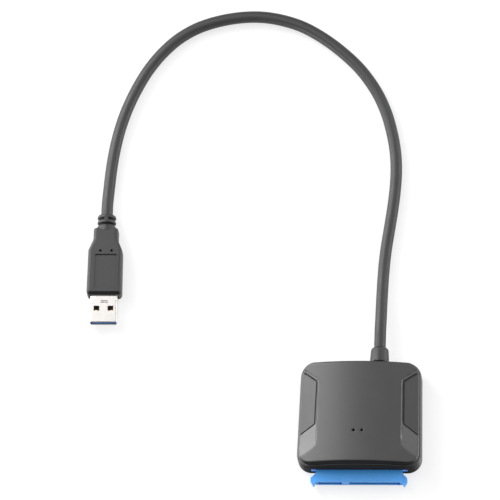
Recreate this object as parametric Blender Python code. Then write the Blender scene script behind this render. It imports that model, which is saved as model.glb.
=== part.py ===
"""A USB to SATA adapter: a two-part housing with a drive receptacle, and a short cord with a USB plug.

Every size below is in millimetres. The origin is on the floor, under the middle of the housing and its
receptacle. The drive plugs in at -Y, the cord leaves at +Y, and the USB plug lies to the left, facing -Y.
"""

import math

import bmesh
import bpy
from mathutils import Vector

MM = 0.001
CLEARANCE = 0.3

# Housing: both halves share one outline, which is a little narrower at the rear
HOUSING_HEIGHT = 15.0
CROWN_RADIUS = 90.0
COVER_FRONT_Y = -20.0
COVER_REAR_Y = 27.0
COVER_FRONT_HALF = 26.9
COVER_REAR_HALF = 25.7
COVER_CORNER = 5.6
COVER_SIDE = 2.8
COVER_FILLET = 0.6
ROOF_WALL = 1.6
BASE_FLARE = 0.9
BASE_WALL = 1.5
BASE_FLOOR = 1.2
BASE_FILLET = 0.8
LIP_WALL = 0.8
LIP_DEPTH = 1.5

# Side pockets of the cover, as plan points of the right one
POCKET_DEPTH = 1.2
POCKET_REAR_OUTER = (24.8, 23.5)
POCKET_REAR_INNER = (18.3, 18.6)
POCKET_FRONT_INNER = (18.5, -11.5)
POCKET_FRONT_OUTER = (25.6, -16.5)
PAD_REAR_INNER = (18.95, 17.8)
PAD_FRONT_INNER = (19.4, -1.8)
PAD_FRONT_OUTER = (26.0, -6.6)

# Indicator lamps and the moulded shroud over them
LAMP_PITCH = 3.6
LAMP_X = -0.4
LAMP_Y = -5.45
LAMP_HOLE = 1.2
LAMP_SIZE = (0.8, 1.6, 0.6)
SHROUD_SIZE = (7.2, 3.6)

# Circuit board, sunk so that its edge meets the middle of the receptacle
BOARD_BOTTOM = 2.4
BOARD_THICKNESS = 1.2
BOARD_HALF = 22.5
BOARD_REAR_Y = 20.0
BOARD_TONGUE_HALF = 18.0
BOARD_TONGUE_DEPTH = 3.0
POST_DIAMETER = 4.0
POST_PLACES = ((16.0, 15.0), (16.0, -9.0))

# Two screws from below hold the halves and the board together
SCREW_X = 19.6
SCREW_Y = 5.0
SCREW_SHANK = 2.2
SCREW_HEAD = 4.2
SCREW_HEAD_HEIGHT = 1.0
SCREW_LENGTH = 8.0
SCREW_RECESS = 0.2
SCREW_BOSS = 5.4
SCREW_SEAT_BOSS = 6.4
SCREW_SLOT = (0.7, 0.5)

# Drive receptacle: a block behind the front wall, a mouth through it, and an ear at each end of the mouth
RECEPTACLE_BOTTOM = 1.2
RECEPTACLE_HEIGHT = 4.2
RECEPTACLE_WIDTH = 42.7
RECEPTACLE_REAR_Y = -13.5
MOUTH_WIDTH = 38.4
MOUTH_FRONT_Y = -26.4
MOUTH_SILL_REACH = 0.12
WING_BOTTOM = 2.6
WING_RECESS = 0.3
EAR_BOTTOM = 2.6
EAR_TOP = 5.1
EAR_NECK_Y = -22.3
EAR_SHOULDER_Y = -24.45
EAR_TAPER_Y = -26.2
EAR_TIP_Y = -27.9
EAR_TIP_X = 20.3
EAR_TIP_WIDTH = 0.5
SLOT_HEIGHT = 2.4
SLOT_FLOOR = 0.9
SLOT_REAR_Y = -20.0
SIGNAL_SLOT = (-18.1, -7.6)
POWER_SLOT = (-4.3, 18.1)
KEY_WIDTH = 1.2
KEY_DROP = 0.5
CONTACT_PITCH = 1.27
CONTACT_WIDTH = 0.5
CONTACT_THICKNESS = 0.25
CONTACT_SIDE_GAP = 0.1
CONTACT_BOW = 0.7
CONTACT_FRONT_Y = -25.4
CONTACT_REAR_Y = -12.0
SIGNAL_CONTACTS = 7
POWER_CONTACTS = 15

# Parts on the board: name, centre x, centre y, width, depth, height
CHIPS = (
    ("bridge_chip", -4.0, 4.0, 7.0, 7.0, 0.9),
    ("flash_chip", 5.0, 7.5, 5.0, 6.0, 1.5),
    ("crystal", -12.0, 3.0, 3.2, 5.0, 1.0),
    ("voltage_regulator", 12.5, 1.0, 5.0, 6.0, 1.6),
)
INDUCTOR = (9.0, -7.0, 6.0, 3.0)
CAPACITORS = ((-15.0, -6.5), (-9.0, -6.5))
CAPACITOR_DIAMETER = 5.0
CAPACITOR_HEIGHT = 5.4

# Power jack at the rear, beside the cord
JACK_X = -10.0
JACK_WIDTH = 9.0
JACK_LENGTH = 13.0
JACK_HEIGHT = 7.2
JACK_BORE = 5.6
JACK_BORE_DEPTH = 9.5
JACK_PIN = 2.0
JACK_SPRING = (1.2, 0.3)

# Strain relief, held in a slot of the rear wall
RELIEF_X = 7.9
RELIEF_Z = 7.0
RELIEF_BASE_DIAMETER = 8.6
RELIEF_END_DIAMETER = 7.9
RELIEF_NECK_DIAMETER = 6.4
RELIEF_FLANGE_DIAMETER = 9.0
RELIEF_FLANGE = 1.5
RELIEF_SHOULDER_Y = 33.6
RELIEF_END_Y = 35.6
WIRE_DIAMETER = 1.1
WIRE_PITCH = 1.5
WIRE_NAMES = ("power_wire", "data_wire_minus", "data_wire_plus", "ground_wire")

# Cord, and the points of its route by hand: along the floor in one open loop
CORD_DIAMETER = 5.2
CORD_STEP = 4.0
CORD_SIDES = 3
CORD_ROUTE = (
    (7.9, 44.0, 6.9),
    (8.0, 48.9, 6.5),
    (8.0, 53.8, 5.8),
    (8.1, 63.7, 4.1),
    (8.4, 73.6, 2.95),
    (9.1, 82.9, 2.65),
    (10.3, 92.2, 2.65),
    (11.5, 101.6, 2.65),
    (12.4, 110.9, 2.65),
    (12.7, 120.4, 2.65),
    (12.0, 129.7, 2.65),
    (10.1, 139.2, 2.65),
    (7.2, 148.6, 2.65),
    (2.6, 158.2, 2.65),
    (-4.6, 168.3, 2.65),
    (-13.7, 177.1, 2.65),
    (-23.9, 184.6, 2.65),
    (-34.3, 189.8, 2.65),
    (-47.7, 192.9, 2.65),
    (-61.3, 192.5, 2.65),
    (-74.7, 189.1, 2.65),
    (-84.8, 183.7, 2.65),
    (-92.9, 176.3, 2.65),
    (-99.5, 167.5, 2.65),
    (-104.6, 158.0, 2.65),
    (-108.5, 148.5, 2.65),
    (-111.3, 139.1, 2.65),
    (-113.2, 129.6, 2.65),
    (-114.4, 120.3, 2.7),
    (-115.1, 110.7, 3.25),
)

# USB plug
PLUG_X = -115.5
GRIP_WIDTH_FRONT = 15.5
GRIP_WIDTH_REAR = 15.1
GRIP_HEIGHT = 8.4
GRIP_FRONT_Y = 60.2
GRIP_SHOULDER_Y = 81.0
GRIP_CORNER = 1.6
GRIP_FRONT_BEVEL = 1.1
NECK_WIDTH = 10.9
NECK_HEIGHT = 7.8
NECK_FRONT_Y = 86.2
NECK_REAR_Y = 91.3
BOOT_DIAMETER = 8.3
BOOT_END_Y = 98.4
BOOT_END_DIAMETER = 7.4
BOOT_GROOVES_Y = (93.6, 96.1)
BOOT_GROOVE_WIDTH = 0.8
BOOT_GROOVE_DEPTH = 0.8
BOOT_BRIDGE = 2.4
PANEL_HALF = 4.8
PANEL_FRONT_Y = 62.6
PANEL_REAR_Y = 78.9
PANEL_DEPTH = 0.25
PANEL_GROOVE = (0.6, 0.6)
DIMPLE_PITCH = 4.95
DIMPLE_Y = 80.5
DIMPLE_DIAMETER = 1.0
DIMPLE_DEPTH = 0.6
SHELL_WIDTH = 12.0
SHELL_HEIGHT = 4.5
SHELL_WALL = 0.3
SHELL_CORNER = 0.6
SHELL_TIP_Y = 47.75
SHELL_ROOT_DEPTH = 3.5
LATCH_HOLE = (2.55, 2.3)
LATCH_HOLE_X = 3.1
LATCH_HOLE_Y = 54.05
STAMP_SIZE = (3.4, 1.1)
STAMP_Y = 57.45
STAMP_DEPTH = 0.2
TONGUE_THICKNESS = 1.7
TONGUE_SIDE_GAP = 0.2
TONGUE_TIP_INSET = 0.5
PLUG_CONTACT_WIDTH = 1.0
PLUG_CONTACT_THICKNESS = 0.2
PLUG_CONTACT_GAP = 0.1
PLUG_CONTACTS = (-3.5, -1.0, 1.0, 3.5)
PLUG_CONTACT_LENGTH = 5.0
FAST_CONTACTS = (-4.0, -2.0, 0.0, 2.0, 4.0)
FAST_WIDTH = 0.8
FAST_LENGTH = 2.4
FAST_START = 6.5

# Fineness of the curves
EDGE_STEPS = 16
CORNER_STEPS = 5
FILLET_STEPS = 3
ROUND_SIDES = 24
SMALL_SIDES = 12

COVER_SLOPE = (COVER_FRONT_HALF - COVER_REAR_HALF) / (COVER_REAR_Y - COVER_FRONT_Y)
SEAM_DROP = COVER_SIDE + CLEARANCE
BASE_FRONT_Y = COVER_FRONT_Y - BASE_FLARE
BASE_REAR_Y = COVER_REAR_Y + BASE_FLARE
LIP_INSET = BASE_WALL - BASE_FLARE + CLEARANCE
CAVITY_INSET = LIP_INSET + LIP_WALL
BOARD_TOP = BOARD_BOTTOM + BOARD_THICKNESS
SCREW_NECK_Z = SCREW_RECESS + SCREW_HEAD_HEIGHT
PARTS_Z = BOARD_TOP + CLEARANCE
BOARD_FRONT_Y = RECEPTACLE_REAR_Y + 2 * CLEARANCE
BLOCK_FRONT_Y = BASE_FRONT_Y + BASE_WALL + CLEARANCE
RECEPTACLE_TOP = RECEPTACLE_BOTTOM + RECEPTACLE_HEIGHT
SLOT_BOTTOM = RECEPTACLE_BOTTOM + SLOT_FLOOR
SLOT_TOP = SLOT_BOTTOM + SLOT_HEIGHT
GRIP_Z = GRIP_HEIGHT / 2
WELD_IN = 0.8


def clear_scene():
    for thing in list(bpy.data.objects):
        bpy.data.objects.remove(thing)


def material(name, colour, roughness, metallic=0.0):
    """A plain surface; the colour is red, green and blue in linear light."""
    made = bpy.data.materials.get(name) or bpy.data.materials.new(name)
    made.use_nodes = True
    surface = made.node_tree.nodes["Principled BSDF"]
    surface.inputs["Base Color"].default_value = (*colour, 1.0)
    surface.inputs["Roughness"].default_value = roughness
    surface.inputs["Metallic"].default_value = metallic
    return made


def black_plastic():
    return material("black_plastic", (0.045, 0.045, 0.047), 0.5)


def cord_plastic():
    return material("cord_plastic", (0.04, 0.04, 0.042), 0.42)


def blue_plastic():
    return material("blue_plastic", (0.06, 0.25, 0.72), 0.4)


def plated_steel():
    return material("plated_steel", (0.78, 0.77, 0.75), 0.22, 1.0)


def gold_plate():
    return material("gold_plate", (0.8, 0.56, 0.2), 0.25, 1.0)


def board_laminate():
    return material("board_laminate", (0.02, 0.13, 0.05), 0.45)


def chip_plastic():
    return material("chip_plastic", (0.02, 0.02, 0.022), 0.55)


def lamp_resin():
    return material("lamp_resin", (0.75, 0.78, 0.8), 0.3)


def wire_plastic():
    return material("wire_plastic", (0.35, 0.06, 0.05), 0.45)


def add_loft(bm, rings):
    """A closed solid through rings of points, which all have the same count and turn the same way."""
    made = [[bm.verts.new(Vector(point) * MM) for point in ring] for ring in rings]
    faces = []
    for lower, upper in zip(made, made[1:]):
        for i in range(len(lower)):
            j = (i + 1) % len(lower)
            faces.append(bm.faces.new((lower[i], lower[j], upper[j], upper[i])))
    faces.append(bm.faces.new(list(reversed(made[0]))))
    faces.append(bm.faces.new(made[-1]))
    bmesh.ops.recalc_face_normals(bm, faces=faces)


def add_crowned_loft(bm, rings):
    """As add_loft in triangles, with each end closed by strips from the front edge to the rear edge."""
    made = [[bm.verts.new(Vector(point) * MM) for point in ring] for ring in rings]
    faces = []
    for lower, upper in zip(made, made[1:]):
        for i in range(len(lower)):
            j = (i + 1) % len(lower)
            faces.append(bm.faces.new((lower[i], lower[j], upper[j], upper[i])))
    for ring in (made[0], made[-1]):
        half = len(ring) // 2
        for i in range(half - 1):
            faces.append(bm.faces.new((ring[i], ring[i + 1], ring[-2 - i], ring[-1 - i])))
    bmesh.ops.recalc_face_normals(bm, faces=faces)
    bmesh.ops.triangulate(bm, faces=faces)


def add_box(bm, low, high):
    (x0, y0, z0), (x1, y1, z1) = low, high
    add_loft(bm, [[(x0, y0, z), (x1, y0, z), (x1, y1, z), (x0, y1, z)] for z in (z0, z1)])


def add_prism(bm, outline, low, high):
    """An outline in plan, raised from one height to another."""
    add_loft(bm, [[(x, y, z) for x, y in outline] for z in (low, high)])


def add_side_prism(bm, outline, left, right):
    """An outline seen from the side, as y and z, drawn out from left to right."""
    add_loft(bm, [[(x, y, z) for y, z in outline] for x in (left, right)])


def circle(sides, radius):
    turns = [2 * math.pi * (i + 0.5) / sides for i in range(sides)]
    return [(radius * math.cos(turn), radius * math.sin(turn)) for turn in turns]


def add_turned_y(bm, centre, profile, sides=ROUND_SIDES):
    """A solid turned about a line along Y; the profile holds y and radius."""
    x, z = centre
    add_loft(bm, [[(x + u, y, z + v) for u, v in circle(sides, radius)] for y, radius in profile])


def add_turned_z(bm, centre, profile, sides=ROUND_SIDES):
    """A solid turned about an upright line; the profile holds z and radius."""
    x, y = centre
    add_loft(bm, [[(x + u, y + v, z) for u, v in circle(sides, radius)] for z, radius in profile])


def place(name, bm, surface, round_edges=None):
    """Makes the mesh one named object; edges sharper than round_edges degrees stay sharp."""
    mesh = bpy.data.meshes.new(name)
    bm.to_mesh(mesh)
    bm.free()
    made = bpy.data.objects.new(name, mesh)
    bpy.context.scene.collection.objects.link(made)
    mesh.materials.append(surface)
    if round_edges:
        mesh.shade_smooth()
        mesh.set_sharp_from_angle(angle=math.radians(round_edges))
    return made


def tool(name, bm):
    """A guide shape that cuts or joins another and isn't part of the object."""
    made = place(name, bm, black_plastic())
    made.hide_render = True
    made.display_type = "WIRE"
    return made


def combine(target, name, bm, operation):
    step = target.modifiers.new(name, "BOOLEAN")
    step.operation = operation
    step.solver = "EXACT"
    step.object = tool(target.name + "_" + name, bm)


def crown(x):
    """Height of the housing's top, which is curved from side to side."""
    return HOUSING_HEIGHT - x * x / (2 * CROWN_RADIUS)


def housing_ring(inset, drop=None, level=None):
    """The housing's outline moved in, either drop under the crown or at one level."""
    front, rear = COVER_FRONT_Y + inset, COVER_REAR_Y - inset
    radius = max(COVER_CORNER - inset, 0.4)

    def half(y):
        return COVER_FRONT_HALF - COVER_SLOPE * (y - COVER_FRONT_Y) - inset

    def edge(y, towards):
        centre_y = y - towards * radius
        centre_x = half(centre_y) - radius
        angles = [math.pi / 2 * i / CORNER_STEPS for i in range(CORNER_STEPS + 1)]
        bend = [
            (centre_x + radius * math.cos(a), centre_y + towards * radius * math.sin(a)) for a in angles
        ]
        straight = [(centre_x * (1 - 2 * i / EDGE_STEPS), y) for i in range(1, EDGE_STEPS)]
        return bend + straight + [(-x, v) for x, v in reversed(bend)]

    plan = [*reversed(edge(front, -1)), *edge(rear, 1)]
    if drop is None:
        return [(x, y, level) for x, y in plan]
    return [(x, y, crown(x) - drop) for x, y in plan]


def fillet(radius):
    """Inset and drop of each step of a round edge, from its side to its top."""
    for i in range(FILLET_STEPS + 1):
        angle = math.pi / 2 * i / FILLET_STEPS
        yield radius * (1 - math.cos(angle)), radius * (1 - math.sin(angle))


def pocket_planes():
    """Each wall of the right pocket as three points; what lies above all of them is cut away."""

    def top(plan):
        return (*plan, crown(plan[0]))

    def pad(plan):
        return (*plan, crown(plan[0]) - POCKET_DEPTH)

    return (
        (pad(PAD_REAR_INNER), pad(PAD_FRONT_INNER), pad(PAD_FRONT_OUTER)),
        (top(POCKET_REAR_OUTER), top(POCKET_REAR_INNER), pad(PAD_REAR_INNER)),
        (top(POCKET_REAR_INNER), top(POCKET_FRONT_INNER), pad(PAD_REAR_INNER)),
        (top(POCKET_FRONT_INNER), top(POCKET_FRONT_OUTER), pad(PAD_FRONT_INNER)),
    )


def pocket_tool(side):
    """The solid that cuts one side pocket: a block trimmed by the pocket's four planes."""
    bm = bmesh.new()
    high = HOUSING_HEIGHT + 1
    add_box(bm, (0, COVER_FRONT_Y - 1, 0), (COVER_FRONT_HALF + 2, COVER_REAR_Y + 1, high))
    for points in pocket_planes():
        a, b, c = (Vector(point) * MM for point in points)
        normal = (b - a).cross(c - a).normalized()
        if normal.z > 0:
            normal.negate()
        everything = bm.verts[:] + bm.edges[:] + bm.faces[:]
        found = bmesh.ops.bisect_plane(bm, geom=everything, plane_co=a, plane_no=normal, clear_outer=True)
        rim = [item for item in found["geom_cut"] if isinstance(item, bmesh.types.BMEdge)]
        bmesh.ops.contextual_create(bm, geom=rim)
    if side < 0:
        bmesh.ops.scale(bm, vec=(-1, 1, 1), verts=bm.verts)
    bmesh.ops.recalc_face_normals(bm, faces=bm.faces)
    return bm


def lamp_places():
    return [(LAMP_X + side * LAMP_PITCH / 2, LAMP_Y) for side in (-1, 1)]


def make_top_cover():
    bm = bmesh.new()
    rings = [housing_ring(LIP_INSET, drop=COVER_SIDE + LIP_DEPTH), housing_ring(LIP_INSET, drop=COVER_SIDE)]
    rings.append(housing_ring(0, drop=COVER_SIDE))
    rings += [housing_ring(inset, drop=drop) for inset, drop in fillet(COVER_FILLET)]
    add_crowned_loft(bm, rings)
    cover = place("top_cover", bm, black_plastic(), 35)

    hollow = bmesh.new()
    add_crowned_loft(
        hollow,
        [
            housing_ring(CAVITY_INSET, drop=COVER_SIDE + LIP_DEPTH + 1),
            housing_ring(CAVITY_INSET, drop=ROOF_WALL + POCKET_DEPTH),
        ],
    )
    combine(cover, "hollow", hollow, "DIFFERENCE")
    raised = bmesh.new()
    reach = POCKET_REAR_INNER[0] - ROOF_WALL
    steps = [reach * (2 * i / EDGE_STEPS - 1) for i in range(EDGE_STEPS + 1)]
    profile = [(x, crown(x) - ROOF_WALL) for x in steps]
    profile += [(x, crown(x) - ROOF_WALL - POCKET_DEPTH - 1) for x in reversed(steps)]
    margin = CAVITY_INSET + CLEARANCE
    ends = (COVER_FRONT_Y + margin, COVER_REAR_Y - margin)
    add_loft(raised, [[(x, y, z) for x, z in profile] for y in ends])
    combine(cover, "raised_roof", raised, "DIFFERENCE")
    for side, word in ((-1, "left"), (1, "right")):
        combine(cover, "pocket_" + word, pocket_tool(side), "DIFFERENCE")

    bosses = bmesh.new()
    for x in (-SCREW_X, SCREW_X):
        under_pocket = crown(SCREW_X) - ROOF_WALL - POCKET_DEPTH + WELD_IN
        profile = [(PARTS_Z, SCREW_BOSS / 2), (under_pocket, SCREW_BOSS / 2)]
        add_turned_z(bosses, (x, SCREW_Y), profile, SMALL_SIDES)
    wide, deep = SHROUD_SIZE
    shroud_low = PARTS_Z + LAMP_SIZE[2] + CLEARANCE
    shroud_high = HOUSING_HEIGHT - ROOF_WALL + WELD_IN
    low = (LAMP_X - wide / 2, LAMP_Y - deep / 2, shroud_low)
    add_box(bosses, low, (LAMP_X + wide / 2, LAMP_Y + deep / 2, shroud_high))
    combine(cover, "bosses", bosses, "UNION")
    key = bmesh.new()
    key_half = RELIEF_NECK_DIAMETER / 2
    key_top = crown(RELIEF_X) - COVER_SIDE + WELD_IN
    key_low = RELIEF_Z + CLEARANCE
    wall = (BASE_REAR_Y - BASE_WALL, COVER_REAR_Y - CLEARANCE)
    add_box(key, (RELIEF_X - key_half, wall[0], key_low), (RELIEF_X + key_half, wall[1], key_top))
    combine(cover, "relief_key", key, "UNION")

    notches = bmesh.new()
    ends = (COVER_REAR_Y - CAVITY_INSET - 1, COVER_REAR_Y - LIP_INSET + CLEARANCE / 2)
    for x, width, top in (
        (JACK_X, JACK_WIDTH, PARTS_Z + JACK_HEIGHT),
        (RELIEF_X, RELIEF_FLANGE_DIAMETER, RELIEF_Z + RELIEF_FLANGE_DIAMETER / 2),
    ):
        half = width / 2 + CLEARANCE
        add_box(notches, (x - half, ends[0], BOARD_TOP), (x + half, ends[1], top + CLEARANCE))
    combine(cover, "lip_notches", notches, "DIFFERENCE")

    holes = bmesh.new()
    for place_xy in lamp_places():
        profile = [(shroud_low - 1, LAMP_HOLE / 2), (HOUSING_HEIGHT + 1, LAMP_HOLE / 2)]
        add_turned_z(holes, place_xy, profile, SMALL_SIDES)
    bore = (SCREW_SHANK + CLEARANCE) / 2
    bore_top = SCREW_NECK_Z + SCREW_LENGTH + CLEARANCE
    for x in (-SCREW_X, SCREW_X):
        add_turned_z(holes, (x, SCREW_Y), [(PARTS_Z - 1, bore), (bore_top, bore)], SMALL_SIDES)
    seat = RELIEF_NECK_DIAMETER / 2 + CLEARANCE
    profile = [(wall[0] - 1, seat), (COVER_REAR_Y + 2, seat)]
    add_turned_y(holes, (RELIEF_X, RELIEF_Z), profile)
    combine(cover, "holes", holes, "DIFFERENCE")
    return cover


def make_bottom_cover():
    bm = bmesh.new()
    rings = []
    for inset, drop in reversed(list(fillet(BASE_FILLET))):
        rings.append(housing_ring(inset - BASE_FLARE, level=drop))
    rings.append(housing_ring(-BASE_FLARE, drop=SEAM_DROP))
    add_crowned_loft(bm, rings)
    base = place("bottom_cover", bm, black_plastic(), 35)

    hollow = bmesh.new()
    inner = BASE_WALL - BASE_FLARE
    rings = [housing_ring(inner, level=BASE_FLOOR), housing_ring(inner, level=HOUSING_HEIGHT)]
    add_crowned_loft(hollow, rings)
    combine(base, "hollow", hollow, "DIFFERENCE")

    posts = bmesh.new()
    top = BOARD_BOTTOM - CLEARANCE
    for x, y in POST_PLACES:
        for side in (-1, 1):
            profile = [(BASE_FLOOR - WELD_IN, POST_DIAMETER / 2), (top, POST_DIAMETER / 2)]
            add_turned_z(posts, (side * x, y), profile, SMALL_SIDES)
    for x in (-SCREW_X, SCREW_X):
        profile = [(BASE_FLOOR - WELD_IN, SCREW_SEAT_BOSS / 2), (top, SCREW_SEAT_BOSS / 2)]
        add_turned_z(posts, (x, SCREW_Y), profile, SMALL_SIDES)
    combine(base, "posts", posts, "UNION")

    holes = bmesh.new()
    head = SCREW_HEAD / 2 + CLEARANCE
    shank = (SCREW_SHANK + CLEARANCE) / 2
    seat = SCREW_NECK_Z + CLEARANCE
    for x in (-SCREW_X, SCREW_X):
        profile = [(-1, head), (seat, head), (seat, shank), (BOARD_BOTTOM, shank)]
        add_turned_z(holes, (x, SCREW_Y), profile, SMALL_SIDES)
    through = (BASE_REAR_Y - BASE_WALL - 1, BASE_REAR_Y + 1)
    radius = JACK_BORE / 2 + CLEARANCE
    profile = [(through[0], radius), (through[1], radius)]
    add_turned_y(holes, (JACK_X, PARTS_Z + JACK_HEIGHT / 2), profile)
    slot = RELIEF_NECK_DIAMETER / 2 + CLEARANCE
    profile = [(through[0], slot), (through[1], slot)]
    add_turned_y(holes, (RELIEF_X, RELIEF_Z), profile)
    combine(base, "holes", holes, "DIFFERENCE")
    wall = (BASE_FRONT_Y - 1, BLOCK_FRONT_Y)
    inside = (BLOCK_FRONT_Y - CLEARANCE, RECEPTACLE_REAR_Y + CLEARANCE)
    for word, width, low, (front, rear) in (
        ("wings", RECEPTACLE_WIDTH, WING_BOTTOM, wall),
        ("mouth", MOUTH_WIDTH, RECEPTACLE_BOTTOM, wall),
        ("bed", RECEPTACLE_WIDTH, RECEPTACLE_BOTTOM, inside),
    ):
        opening = bmesh.new()
        side = width / 2 + CLEARANCE
        add_box(opening, (-side, front, low - CLEARANCE), (side, rear, RECEPTACLE_TOP + CLEARANCE))
        combine(base, word, opening, "DIFFERENCE")
    channel = bmesh.new()
    low = (RELIEF_X - slot, through[0], RELIEF_Z)
    high = (RELIEF_X + slot, through[1], HOUSING_HEIGHT)
    add_box(channel, low, high)
    combine(base, "relief_slot", channel, "DIFFERENCE")
    return base


def contact_places():
    """Name and x of each drive contact; each row sits beside its slot's key."""
    for word, count, (left, right) in (
        ("sata_signal_contact_", SIGNAL_CONTACTS, SIGNAL_SLOT),
        ("sata_power_contact_", POWER_CONTACTS, POWER_SLOT),
    ):
        middle = (left + right - KEY_WIDTH) / 2
        for i in range(count):
            yield word + str(i + 1), middle + (i - (count - 1) / 2) * CONTACT_PITCH


def make_receptacle():
    half, mouth = RECEPTACLE_WIDTH / 2, MOUTH_WIDTH / 2
    bm = bmesh.new()
    add_box(bm, (-half, BLOCK_FRONT_Y, RECEPTACLE_BOTTOM), (half, RECEPTACLE_REAR_Y, RECEPTACLE_TOP))
    body = place("sata_receptacle", bm, blue_plastic(), 30)
    front = bmesh.new()
    sill = RECEPTACLE_BOTTOM + SLOT_FLOOR
    side = [
        (BLOCK_FRONT_Y + WELD_IN, RECEPTACLE_BOTTOM),
        (BLOCK_FRONT_Y + WELD_IN, RECEPTACLE_TOP),
        (MOUTH_FRONT_Y, RECEPTACLE_TOP),
        (MOUTH_FRONT_Y, sill),
        (MOUTH_FRONT_Y - MOUTH_SILL_REACH, sill),
        (MOUTH_FRONT_Y - MOUTH_SILL_REACH, RECEPTACLE_BOTTOM),
    ]
    add_side_prism(front, side, -mouth, mouth)
    combine(body, "mouth", front, "UNION")
    wings = bmesh.new()
    low = (-half, BASE_FRONT_Y + WING_RECESS, WING_BOTTOM)
    add_box(wings, low, (half, BLOCK_FRONT_Y + WELD_IN, RECEPTACLE_TOP - WELD_IN / 4))
    combine(body, "wings", wings, "UNION")
    ears = bmesh.new()
    for side in (-1, 1):
        outline = [
            (mouth - WELD_IN, EAR_NECK_Y + WELD_IN),
            (mouth, EAR_NECK_Y),
            (half, EAR_SHOULDER_Y),
            (half, EAR_TAPER_Y),
            (EAR_TIP_X, EAR_TIP_Y),
            (EAR_TIP_X - EAR_TIP_WIDTH, EAR_TIP_Y),
            (mouth, MOUTH_FRONT_Y - MOUTH_SILL_REACH / 2),
            (mouth - WELD_IN, MOUTH_FRONT_Y + WELD_IN),
        ]
        plan = [(side * x, y) for x, y in outline]
        add_prism(ears, plan, EAR_BOTTOM, EAR_TOP)
    combine(body, "ears", ears, "UNION")

    slots = bmesh.new()
    for left, right in (SIGNAL_SLOT, POWER_SLOT):
        section = [
            (left, SLOT_BOTTOM),
            (right - KEY_WIDTH, SLOT_BOTTOM),
            (right - KEY_WIDTH, SLOT_BOTTOM - KEY_DROP),
            (right, SLOT_BOTTOM - KEY_DROP),
            (right, SLOT_TOP),
            (left, SLOT_TOP),
        ]
        add_loft(slots, [[(x, y, z) for x, z in section] for y in (EAR_TIP_Y, SLOT_REAR_Y)])
    combine(body, "slots", slots, "DIFFERENCE")
    board = bmesh.new()
    side = BOARD_TONGUE_HALF + CLEARANCE
    low = (-side, BOARD_FRONT_Y - BOARD_TONGUE_DEPTH - CLEARANCE, BOARD_BOTTOM - CLEARANCE)
    add_box(board, low, (side, RECEPTACLE_REAR_Y + 1, BOARD_TOP + CLEARANCE))
    combine(body, "board_slot", board, "DIFFERENCE")
    channels = bmesh.new()
    reach = CONTACT_WIDTH / 2 + CONTACT_SIDE_GAP
    for _, x in contact_places():
        low = (x - reach, SLOT_REAR_Y - 1, PARTS_Z - CONTACT_SIDE_GAP)
        high = (x + reach, RECEPTACLE_REAR_Y + 1, PARTS_Z + CONTACT_THICKNESS + CONTACT_SIDE_GAP)
        add_box(channels, low, high)
    combine(body, "channels", channels, "DIFFERENCE")
    return body


def make_drive_contacts():
    """Straight tails through the receptacle, with a spring bow in the slot."""
    z = PARTS_Z
    lower = [
        (CONTACT_REAR_Y, z),
        (SLOT_REAR_Y - 1.2, z),
        (CONTACT_FRONT_Y + 2.0, z - CONTACT_BOW),
        (CONTACT_FRONT_Y + 0.9, z - CONTACT_BOW),
        (CONTACT_FRONT_Y, z - 0.2),
    ]
    outline = lower + [(y, height + CONTACT_THICKNESS) for y, height in reversed(lower)]
    for name, x in contact_places():
        bm = bmesh.new()
        add_side_prism(bm, outline, x - CONTACT_WIDTH / 2, x + CONTACT_WIDTH / 2)
        place(name, bm, gold_plate())


def make_board():
    wide, narrow = BOARD_HALF, BOARD_TONGUE_HALF
    tip = BOARD_FRONT_Y - BOARD_TONGUE_DEPTH
    outline = [
        (-wide, BOARD_REAR_Y),
        (-wide, BOARD_FRONT_Y),
        (-narrow, BOARD_FRONT_Y),
        (-narrow, tip),
        (narrow, tip),
        (narrow, BOARD_FRONT_Y),
        (wide, BOARD_FRONT_Y),
        (wide, BOARD_REAR_Y),
    ]
    bm = bmesh.new()
    add_prism(bm, outline, BOARD_BOTTOM, BOARD_TOP)
    board = place("circuit_board", bm, board_laminate())
    holes = bmesh.new()
    radius = SCREW_SHANK / 2 + CLEARANCE
    for x in (-SCREW_X, SCREW_X):
        add_turned_z(holes, (x, SCREW_Y), [(BOARD_BOTTOM - 1, radius), (BOARD_TOP + 1, radius)], SMALL_SIDES)
    combine(board, "holes", holes, "DIFFERENCE")


def make_board_parts():
    for name, x, y, width, depth, height in CHIPS:
        bm = bmesh.new()
        low = (x - width / 2, y - depth / 2, PARTS_Z)
        add_box(bm, low, (x + width / 2, y + depth / 2, PARTS_Z + height))
        place(name, bm, plated_steel() if name == "crystal" else chip_plastic())
    x, y, side, height = INDUCTOR
    bm = bmesh.new()
    add_box(bm, (x - side / 2, y - side / 2, PARTS_Z), (x + side / 2, y + side / 2, PARTS_Z + height))
    place("power_inductor", bm, chip_plastic())
    radius = CAPACITOR_DIAMETER / 2
    for i, centre in enumerate(CAPACITORS):
        bm = bmesh.new()
        add_turned_z(bm, centre, [(PARTS_Z, radius), (PARTS_Z + CAPACITOR_HEIGHT, radius)], SMALL_SIDES)
        place("capacitor_" + str(i + 1), bm, plated_steel(), 40)
    wide, deep, high = LAMP_SIZE
    for name, (x, y) in zip(("power_lamp", "activity_lamp"), lamp_places()):
        bm = bmesh.new()
        add_box(bm, (x - wide / 2, y - deep / 2, PARTS_Z), (x + wide / 2, y + deep / 2, PARTS_Z + high))
        place(name, bm, lamp_resin())


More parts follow.
